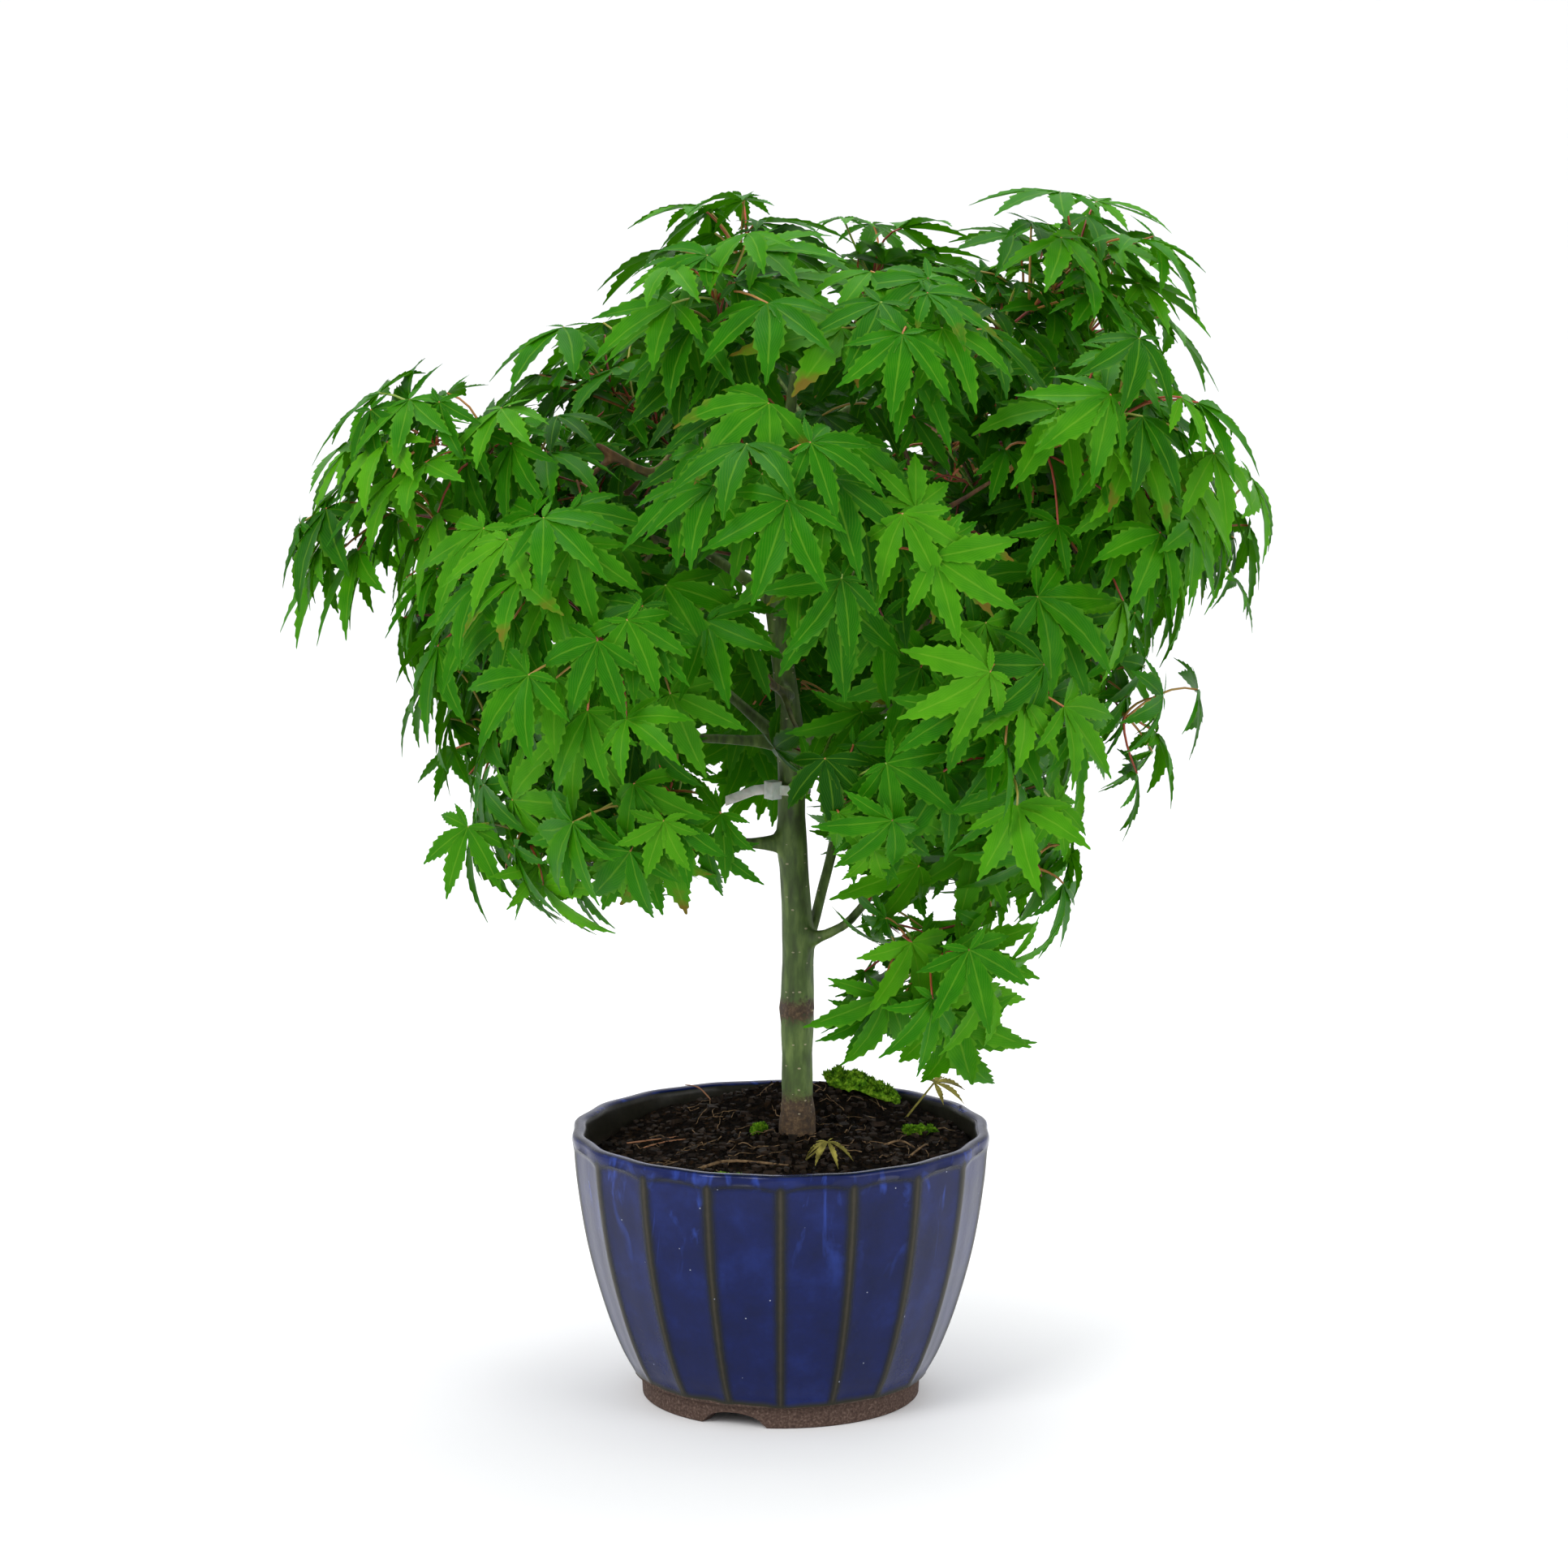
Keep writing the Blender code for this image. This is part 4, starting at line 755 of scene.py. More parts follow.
@dataclass
class Pot:
    """The fluted pot, spun from its section; then the flutes and foot notches are pressed in."""

    flutes: int = 18
    flute_depth: float = 1.6 * MM
    steps_per_flute: int = 14
    arch_gap: float = 1.8 * MM
    arch_height: float = 4.6 * MM
    wall: float = 7.0 * MM
    lip_height: float = 3.6 * MM
    scallop: float = 1.3 * MM
    foot_radius: float = 66.3 * MM
    foot_height: float = 10.8 * MM
    notches: int = 3
    notch_turn: float = -110.0
    notch_height: float = 7.0 * MM
    notch_spread: float = 26.67
    lip_width: float = 9.0 * MM
    drain: float = 11.0 * MM
    profile: tuple[tuple[float, float], ...] = (
        (-0.11, -0.12), (0.0, 0.10), (0.11, 0.31), (0.29, 0.55), (0.54, 0.79), (0.80, 0.94), (1.0, 1.0),
    )
    rim: float = field(default_factory=lambda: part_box("pot")[1].y)
    top: float = field(default_factory=lambda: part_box("pot")[1].z)

    def wall_radius(self, height: float) -> float:
        """Finds the outside of the wall on the ridges, by a smooth line through the profile's points.

        Args:
            height: the height over the table.

        Returns:
            The radius.
        """
        table = self.profile
        share = (height - self.foot_height) / (self.top - self.foot_height)
        for i in range(1, len(table) - 1):
            (a, low), (b, high) = table[i], table[i + 1]
            if share <= b or i == len(table) - 2:
                t = (share - a) / (b - a)
                slope_a = (high - table[i - 1][1]) / (b - table[i - 1][0]) * (b - a)
                after = table[min(i + 2, len(table) - 1)]
                slope_b = (after[1] - low) / (after[0] - a) * (b - a)
                value = (
                    low * (2 * t**3 - 3 * t**2 + 1) + slope_a * (t**3 - 2 * t**2 + t)
                    + high * (3 * t**2 - 2 * t**3) + slope_b * (t**3 - t**2)
                )
                return self.foot_radius + (self.rim - self.foot_radius) * value
        return self.rim

    def section(self) -> list[tuple[float, float]]:
        """Draws the closed section, from the foot's outside up, over the lip and back under.

        Returns:
            The radius and height of each point.
        """
        foot = self.foot_radius
        low = self.foot_height
        high = self.top - self.lip_height
        points = [(foot - 0.0008, 0.0), (foot, 0.0007)]
        points += [(foot + 0.0001 * i, 0.0007 + (low - 0.0017) * i / 5) for i in range(1, 6)]
        points += [(foot + 0.0014, low - 0.0002), (self.wall_radius(low + 0.0012), low + 0.0006)]
        heights = [low + 0.0016 + i * 0.0030 for i in range(34)]
        heights = [h for h in heights if h < 0.1120] + [0.1120 + 0.0012 * i for i in range(12)]
        points += [(self.wall_radius(h), h) for h in heights if h < high]
        points += [
            (self.rim, high + 0.0004), (self.rim, high + 0.0018), (self.rim - 0.0002, self.top - 0.0010),
            (self.rim - 0.0008, self.top - 0.0003), (self.rim - 0.0018, self.top),
            (self.rim - 0.0040, self.top), (self.rim - 0.0052, self.top - 0.0004),
            (self.rim - 0.0060, self.top - 0.0014), (self.rim - 0.0066, self.top - 0.0034),
        ]
        floor = low + 0.0080
        for h in (0.118, 0.104, 0.088, 0.072, 0.056, 0.042, 0.030):
            points.append((self.wall_radius(h) - self.wall, h))
        points += [(self.wall_radius(floor + 0.006) - self.wall - 0.003, floor + 0.0020)]
        points += [(self.wall_radius(floor + 0.006) - self.wall - 0.009, floor)]
        hole = self.drain
        points += [(0.0300, floor), (hole + 0.0006, floor), (hole, floor - 0.0005), (hole, low + 0.0004)]
        points += [(hole + 0.0004, low), (0.0300, low), (foot - 0.0105, low), (foot - 0.0092, low - 0.0010)]
        points += [(foot - 0.0090, height) for height in (0.0060, 0.0030, 0.0007)]
        return [*points, (foot - 0.0083, 0.0)]

    def spin_section(self) -> Thing:
        """Spins the section round the pot's axis.

        Returns:
            The pot, round and smooth.
        """
        points = self.section()
        columns = self.flutes * self.steps_per_flute
        deselect()
        bpy.ops.mesh.primitive_circle_add(vertices=len(points), radius=0.01)
        pot = bpy.context.object
        pot.name = "glazed_pot"
        for vertex, (radius, height) in zip(pot.data.vertices, points):
            vertex.co = (0.0, -radius, height)
        bpy.ops.object.mode_set(mode="EDIT")
        bpy.ops.mesh.select_all(action="SELECT")
        bpy.ops.mesh.spin(steps=columns, angle=2 * math.pi, center=(0, 0, 0), axis=(0, 0, 1))
        bpy.ops.mesh.select_all(action="SELECT")
        bpy.ops.mesh.remove_doubles(threshold=0.00002)
        bpy.ops.mesh.normals_make_consistent(inside=False)
        bpy.ops.object.mode_set(mode="OBJECT")
        return pot

    def across(self, turn: float) -> float:
        """Gives 0 on a ridge and 1 in the middle of a flute."""
        return abs(((turn + math.pi / 2) / (2 * math.pi) * self.flutes + 0.5) % 1.0 - 0.5) * 2.0

    def press_wall(self, share: float, radius: float, z: float) -> tuple[float, float]:
        """Presses a flute with its arched top into a point of the outside wall.

        Args:
            share: 0 on a ridge and 1 in the middle of a flute.
            radius: the point's radius.
            z: its height.

        Returns:
            The new radius, and how thin the glaze runs there, from 0 to 1.
        """
        high = self.top - self.lip_height
        bend = 1.0 - math.sqrt(1.0 - (1.0 - share) ** 2)
        arch = high - self.arch_gap - self.arch_height * bend
        fade = smoothstep(arch + 0.0010, arch - 0.0016, z)
        fade *= smoothstep(self.foot_height + 0.0004, self.foot_height + 0.0050, z) * 0.8 + 0.2
        cut = 1.0 - (1.0 - share) ** 2.6
        crest = max(0.0, 1.0 - share / 0.32) * smoothstep(high + 0.001, high - 0.004, z)
        border = math.exp(-(((z - arch) / 0.0018) ** 2)) * smoothstep(high + 0.0006, high - 0.001, z)
        return radius - self.flute_depth * cut * fade, max(crest, 0.60 * border)

    def notched(self, turn: float, z: float) -> float:
        """Lifts a point of the foot ring where a notch is cut.

        Args:
            turn: the point's angle round the pot.
            z: its height.

        Returns:
            The new height.
        """
        spacing = 2 * math.pi / self.notches
        away = (turn - math.radians(self.notch_turn) + spacing / 2) % spacing - spacing / 2
        lift = 1.0 - (away / math.radians(self.notch_spread / 2)) ** 2
        return max(z, self.notch_height * math.sqrt(lift)) if lift > 0 else z

    def press(self, pot: Thing) -> None:
        """Presses in the flutes, the scalloped lip and the foot notches, and notes where the glaze is thin.

        Args:
            pot: the spun pot.
        """
        thin = []
        bare = []
        for vertex in pot.data.vertices:
            x, y, z = vertex.co
            radius = math.hypot(x, y)
            turn = math.atan2(y, x)
            share = self.across(turn)
            outside = radius > self.wall_radius(z) - 0.0030 and z > self.foot_height
            crest = 0.0
            if outside and z < self.top - 0.0001:
                radius, crest = self.press_wall(share, radius, z)
            if z > self.top - 0.0009 and self.rim - 0.0026 < radius:
                crest = 0.50
            if z > self.top - self.lip_height and radius > self.rim - self.lip_width:
                radius -= self.scallop * (0.5 - 0.5 * math.cos(math.pi * share))
            if not outside and self.foot_height + 0.002 < z < self.top - 0.0012:
                crest = 0.82
            if z < self.notch_height + 0.0005 and radius > 0.05:
                z = self.notched(turn, z)
            vertex.co = (radius * math.cos(turn), radius * math.sin(turn), z)
            thin.append(crest)
            unglazed = not outside and self.foot_height - 0.001 < z < self.top - 0.016
            bare.append(float(unglazed))
        set_attribute(pot.data, "thin_glaze", thin)
        set_attribute(pot.data, "bare", bare)

    def build(self) -> None:
        """Builds and glazes the pot."""
        pot = self.spin_section()
        self.press(pot)
        smooth(pot, 42)
        Wear.GLAZE.value.dress(pot)
        finish_piece(pot, "blue_glazed_stoneware", "pot")


# ---------------------------------------------------------------------------------- soil and what lies on it


class Ground:
    """The soil's surface as the CAD model has it."""

    def __init__(self) -> None:
        """Reads the CAD soil."""
        self.tree = BVHTree.FromObject(CAD_NODES["soil"], bpy.context.evaluated_depsgraph_get())

    def height(self, x: float, y: float) -> float:
        """Finds the surface's height over a place."""
        found = self.tree.ray_cast(Vector((x, y, 0.2)), Vector((0, 0, -1)))[0]
        return found.z if found else 0.0


def lumps(x: float, y: float) -> float:
    """Gives the crumbs and clods of the soil's surface.

    Args:
        x: place on the ground.
        y: place on the ground.

    Returns:
        How far they stand up, in metres.
    """
    clods = noise.noise(Vector((x * 90, y * 90, 1.3)))
    crumbs = abs(noise.noise(Vector((x * 300, y * 300, 5.1))))
    fine = abs(noise.noise(Vector((x * 800, y * 800, 9.7))))
    return 0.0011 * clods + 0.0026 * crumbs + 0.0012 * fine


@dataclass
class SoilBed:
    """The soil: the CAD solid below, a crumbly skin over it, and loose grit and fibres."""

    ground: Ground
    rings: int = 80
    spokes: int = 300
    crumbs: int = 900
    fibres: int = 80
    disc_radius: float = 0.0925
    edge: float = field(default_factory=lambda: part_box("soil")[1].x)

    def reach(self, height: float) -> float:
        """Gives the radius of the pot's inner wall at a height, as the CAD soil's edge has it."""
        return self.edge - 0.0004 - max(0.0, 0.1235 - height) * 0.10

    def add_skin(self) -> None:
        """Adds a fine disc over the soil's surface, its edge turned down."""
        deselect()
        bpy.ops.mesh.primitive_circle_add(
            vertices=self.spokes, radius=self.disc_radius, location=(0, 0, 0.15)
        )
        disc = bpy.context.object
        disc.name = "peat_surface"
        bpy.ops.object.mode_set(mode="EDIT")
        bpy.ops.mesh.select_all(action="SELECT")
        for i in range(self.rings):
            share = (self.rings - i - 1) / (self.rings - i) if i < self.rings - 1 else 0.2
            bpy.ops.mesh.extrude_region_move()
            bpy.ops.transform.resize(value=(share, share, 1.0))
        bpy.ops.mesh.edge_face_add()
        bpy.ops.object.mode_set(mode="OBJECT")
        bpy.ops.object.transform_apply(location=True, rotation=True, scale=True)
        for vertex in disc.data.vertices:
            x, y, _ = vertex.co
            radius = math.hypot(x, y)
            limit = self.reach(self.ground.height(x * 0.975, y * 0.975))
            scale = min(1.0, limit / radius) if radius > 0 else 1.0
            x, y = x * scale, y * scale
            base = self.ground.height(x * 0.985, y * 0.985)
            edge = smoothstep(self.disc_radius, self.disc_radius - 0.0035, radius)
            z = base + 0.0004 + lumps(x, y) * edge - (1.0 - edge) * 0.0020
            vertex.co = (x, y, z)
        smooth(disc, 80)
        Wear.PEAT.value.dress(disc)
        finish_piece(disc, "peat_soil")

    def add_grit(self) -> None:
        """Adds loose crumbs of bark and peat, each a squashed block with its corners out of true."""
        rng = random.Random(5)
        corners = [(1, 1), (-1, 1), (-1, -1), (1, -1)]
        block = [(0, 1, 2, 3), (7, 6, 5, 4), (0, 4, 5, 1), (1, 5, 6, 2), (2, 6, 7, 3), (3, 7, 4, 0)]
        verts: list[Vector] = []
        faces: Faces = []
        for _ in range(self.crumbs):
            turn = rng.uniform(0, 2 * math.pi)
            out = 0.0885 * math.sqrt(rng.random())
            x, y = out * math.cos(turn), out * math.sin(turn)
            if math.hypot(x - TRUNK[0], y) < TRUNK_ROOM:
                continue
            size = rng.uniform(0.0006, 0.0019) * (1.7 if rng.random() < 0.08 else 1.0)
            spot = Vector((x, y, self.ground.height(x, y) + 0.0006 + lumps(x, y) + size * 0.2))
            turned = Matrix.Rotation(rng.uniform(0, 6.3), 3, "Z")
            turned = turned @ Matrix.Rotation(rng.uniform(-0.6, 0.6), 3, "X")
            stretch = Vector((rng.uniform(0.8, 1.7), rng.uniform(0.6, 1.0), rng.uniform(0.4, 0.8)))
            start = len(verts)
            for corner in [(*flat, 1) for flat in corners] + [(*flat, -1) for flat in corners]:
                offset = Vector(c * s * size * rng.uniform(0.55, 1.0) for c, s in zip(corner, stretch))
                verts.append(spot + turned @ offset)
            faces += [tuple(start + k for k in face) for face in block]
        grit = mesh_object("bark_crumbs", verts, faces)
        Wear.CRUMB.value.dress(grit)
        finish_piece(grit, "peat_soil")

    def add_threads(self) -> None:
        """Adds fine dead roots that lie in bows over the surface."""
        rng = random.Random(8)
        tubes = Tubes()
        for _ in range(self.fibres):
            turn = rng.uniform(0, 2 * math.pi)
            out = 0.078 * math.sqrt(rng.random())
            x, y = out * math.cos(turn), out * math.sin(turn)
            way = rng.uniform(0, 2 * math.pi)
            path = []
            for _ in range(6):
                if math.hypot(x, y) < 0.087 and math.hypot(x - TRUNK[0], y) > TRUNK_ROOM:
                    lift = 0.0010 + lumps(x, y) + rng.uniform(0, 0.0012)
                    path.append(Vector((x, y, self.ground.height(x, y) + lift)))
                way += rng.uniform(-0.55, 0.55)
                step = rng.uniform(0.0016, 0.0042)
                x += step * math.cos(way)
                y += step * math.sin(way)
            if len(path) > 2:
                tubes.add(path, rng.uniform(0.00018, 0.00038), 0.00012, 4, rng.random())
        threads = tubes.to_object("fine_roots")
        Wear.DEAD_WOOD.value.dress(threads)
        finish_piece(threads, "dead_wood")

    def build(self) -> None:
        """Builds the soil and its loose cover."""
        Wear.PEAT.value.dress(CAD_NODES["soil"])
        Wear.NET.value.dress(CAD_NODES["drainage_mesh"])
        self.add_skin()
        self.add_grit()
        self.add_threads()


class Tubes:
    """Round stems along paths, gathered into one mesh."""

    def __init__(self) -> None:
        """Starts empty."""
        self.verts: list[Vector] = []
        self.faces: Faces = []
        self.tints: list[float] = []

    def add(self, path: list[Vector], thick: float, thin: float, sides: int, tint: float) -> None:
        """Adds a stem.

        Args:
            path: its points.
            thick: radius at its start.
            thin: radius at its end.
            sides: points round it.
            tint: a number from 0 to 1 for its colour.
        """
        side = None
        start = len(self.verts)
        for j, point in enumerate(path):
            way = (path[min(j + 1, len(path) - 1)] - path[max(j - 1, 0)]).normalized()
            side = side or way.orthogonal()
            side = (side - way * side.dot(way)).normalized()
            other = way.cross(side)
            radius = thick + (thin - thick) * j / (len(path) - 1)
            for k in range(sides):
                turn = 2 * math.pi * k / sides
                self.verts.append(point + radius * (side * math.cos(turn) + other * math.sin(turn)))
                self.tints.append(tint)
        for j in range(len(path) - 1):
            for k in range(sides):
                m = (k + 1) % sides
                a = start + j * sides
                self.faces.append((a + k, a + m, a + sides + m, a + sides + k))
        self.faces.append(tuple(start + k for k in reversed(range(sides))))
        self.faces.append(tuple(start + (len(path) - 1) * sides + k for k in range(sides)))

    def to_object(self, name: str) -> Thing:
        """Makes the stems one smooth object, with their tints.

        Args:
            name: the object's name.

        Returns:
            The object.
        """
        made = mesh_object(name, self.verts, self.faces)
        set_attribute(made.data, "tint", self.tints)
        made.data.shade_smooth()
        return made


@dataclass
class MossCushion:
    """A cushion of moss: the CAD cushion as a bed, with small shoots standing all over it."""

    node: str
    shoots: int = 1100
    swell: float = 1.0

    def build(self) -> None:
        """Builds the cushion."""
        rng = random.Random(len(self.node) * 7)
        bed = copy_of(self.node, "bed_" + self.node)
        add_modifier(bed, "SUBSURF", levels=2, render_levels=2)
        low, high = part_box(self.node)
        for vertex in bed.data.vertices:
            if vertex.co.z > low.z + 0.001:
                hump = noise.noise(Vector((vertex.co.x, vertex.co.y, 0.0)) * 150)
                vertex.co.z += 0.0016 * noise.noise(vertex.co * 420)
                vertex.co.z += (self.swell - 1.0) * (vertex.co.z - low.z) * (0.7 + 0.9 * hump)
        surface = [vertex.co.copy() for vertex in bed.data.vertices]
        tree = BVHTree.FromPolygons(surface, [tuple(face.vertices) for face in bed.data.polygons])
        verts: list[Vector] = []
        faces: Faces = []
        for _ in range(self.shoots):
            x = rng.uniform(low.x, high.x)
            y = rng.uniform(low.y, high.y)
            found = tree.ray_cast(Vector((x, y, high.z + 0.01)), Vector((0, 0, -1)))[0]
            if found is None:
                continue
            height = rng.uniform(0.0010, 0.0026)
            for _ in range(4):
                way = Vector((rng.uniform(-1, 1), rng.uniform(-1, 1), rng.uniform(0.6, 1.4))).normalized()
                side = way.cross(Vector((0, 0, 1))).normalized() * 0.00028
                start = len(verts)
                foot = found - Vector((0, 0, 0.0003))
                waist = foot + way * height * 0.6
                tip = foot + way * height
                verts += [foot - side, foot + side, waist + side * 0.9, tip, waist - side * 0.9]
                faces.append(tuple(range(start, start + 5)))
        leaves = mesh_object("leaves_" + self.node, verts, faces)
        make_active(bed)
        leaves.select_set(True)
        bpy.ops.object.join()
        bed.name = "cushion_" + self.node
        Wear.MOSS.value.dress(bed)
        finish_piece(bed, "moss", self.node)


@dataclass
class Litter:
    """Needles, a root and bits of stem, each smoothed from its CAD solid."""

    finishes: dict[str, tuple[Wear, str]] = field(
        default_factory=lambda: {
            "needle_1": (Wear.NEEDLE, "dry_needle"),
            "needle_2": (Wear.NEEDLE, "dry_needle"),
            "dry_stalk": (Wear.NEEDLE, "dry_needle"),
            "surface_root": (Wear.DEAD_WOOD, "dead_wood"),
            "stem_bit_1": (Wear.DEAD_WOOD, "dead_wood"),
            "stem_bit_2": (Wear.DEAD_WOOD, "dead_wood"),
        }
    )

    def build(self) -> None:
        """Builds every stick."""
        for node, (wear, slot) in self.finishes.items():
            stick = copy_of(node, "smooth_" + node)
            add_modifier(stick, "SUBSURF", levels=2, render_levels=2)
            normals = [vertex.normal.copy() for vertex in stick.data.vertices]
            for vertex, normal in zip(stick.data.vertices, normals):
                vertex.co += normal * 0.00018 * noise.noise(vertex.co * 900)
            smooth(stick, 70)
            wear.value.dress(stick)
            finish_piece(stick, slot, node)


# ------------------------------------------------------------------------------------------- leaves and wood


@dataclass
class LeafSite:
    """Where a leaf sits: its hub, the way its upper side faces, its lobes' tips and its stalk's start."""

    hub: Vector
    normal: Vector
    tips: list[Vector]
    stalk_start: Vector

    @property
    def axis(self) -> Vector:
        """Gives the way of the middle lobe."""
        return (self.tips[len(self.tips) // 2] - self.hub).normalized()

    @property
    def length(self) -> float:
        """Gives the length of the middle lobe."""
        return (self.tips[len(self.tips) // 2] - self.hub).length


class ShootReader:
    """Reads the leaves and the twig of one CAD shoot."""

    def __init__(self, node: str) -> None:
        """Opens the node's mesh with its triangles joined.

        Args:
            node: the CAD node of a shoot or a fallen leaf.
        """
        self.shape = bmesh.new()
        self.shape.from_mesh(CAD_NODES[node].data)
        bmesh.ops.remove_doubles(self.shape, verts=self.shape.verts, dist=0.00002)
        self.sites: list[LeafSite] = []
        self.blade: set[bmesh.types.BMVert] = set()

    def neighbours(self, vert: bmesh.types.BMVert) -> set[bmesh.types.BMVert]:
        """Finds the points joined to one by an edge."""
        return {edge.other_vert(vert) for edge in vert.link_edges}

    def read(self) -> list[LeafSite]:
        """Finds every leaf by the pair of points at its hub that share its outline.

        Returns:
            The leaves' sites.
        """
        busy = [v for v in self.shape.verts if len(v.link_edges) >= 11]
        used: set[bmesh.types.BMVert] = set()
        for one in busy:
            if one in used:
                continue
            for two in busy:
                if two is one or two in used or (one.co - two.co).length > 0.0016:
                    continue
                shared = self.neighbours(one) & self.neighbours(two)
                far = [v for v in shared if (v.co - one.co).length > 0.0035]
                if len(far) < 8:
                    continue
                used.update((one, two))
                self.add_site(one, two, far, shared)
                break
        return self.sites

    def add_site(
        self,
        one: bmesh.types.BMVert,
        two: bmesh.types.BMVert,
        outline: list[bmesh.types.BMVert],
        shared: set[bmesh.types.BMVert],
    ) -> None:
        """Adds the leaf round a pair of hub points.

        Args:
            one: the hub point on the upper or lower side.
            two: the one on the other side.
            outline: the points of the blade's outline.
            shared: all the points joined to both.
        """
        hub = (one.co + two.co) / 2
        reach = max((v.co - hub).length for v in outline)
        tips = [v for v in outline if (v.co - hub).length > 0.45 * reach]
        middle = max(tips, key=lambda v: (v.co - hub).length).co - hub
        normal = (one.co - two.co).normalized()
        mean = sum((v.co - hub for v in tips), Vector()) / len(tips)
        if mean.dot(normal) > 0:
            normal.negate()
        axis = middle.normalized()
        left = axis.cross(normal)
        flat_axis = (axis - normal * axis.dot(normal)).normalized()
        order = sorted(tips, key=lambda v: -math.atan2((v.co - hub).dot(left), (v.co - hub).dot(flat_axis)))
        ring = shared - set(outline)
        ends = (self.neighbours(one) | self.neighbours(two)) - shared - {one, two}
        for vert in ring:
            ends |= self.neighbours(vert) - ring - {one, two} - set(outline)
        start = sum((v.co for v in ends), Vector()) / len(ends) if ends else hub
        self.sites.append(LeafSite(hub.copy(), normal, [v.co.copy() for v in order], start))
        self.blade |= {one, two} | ring | set(outline)

    def twig_points(self) -> list[Vector]:
        """Gives the points of the twig alone."""
        return [v.co.copy() for v in self.shape.verts if v not in self.blade]

    def twig_object(self, name: str) -> Thing:
        """Makes the bare twig, closed where its leaves were, and rounded.

        Args:
            name: the object's name.

        Returns:
            The twig.
        """
        bmesh.ops.delete(self.shape, geom=list(self.blade), context="VERTS")
        bmesh.ops.holes_fill(self.shape, edges=[e for e in self.shape.edges if e.is_boundary])
        mesh = bpy.data.meshes.new(name)
        self.shape.to_mesh(mesh)
        made = bpy.data.objects.new(name, mesh)
        bpy.context.scene.collection.objects.link(made)
        add_modifier(made, "SUBSURF", levels=1, render_levels=1)
        return made

    def close(self) -> None:
        """Frees the working mesh."""
        self.shape.free()


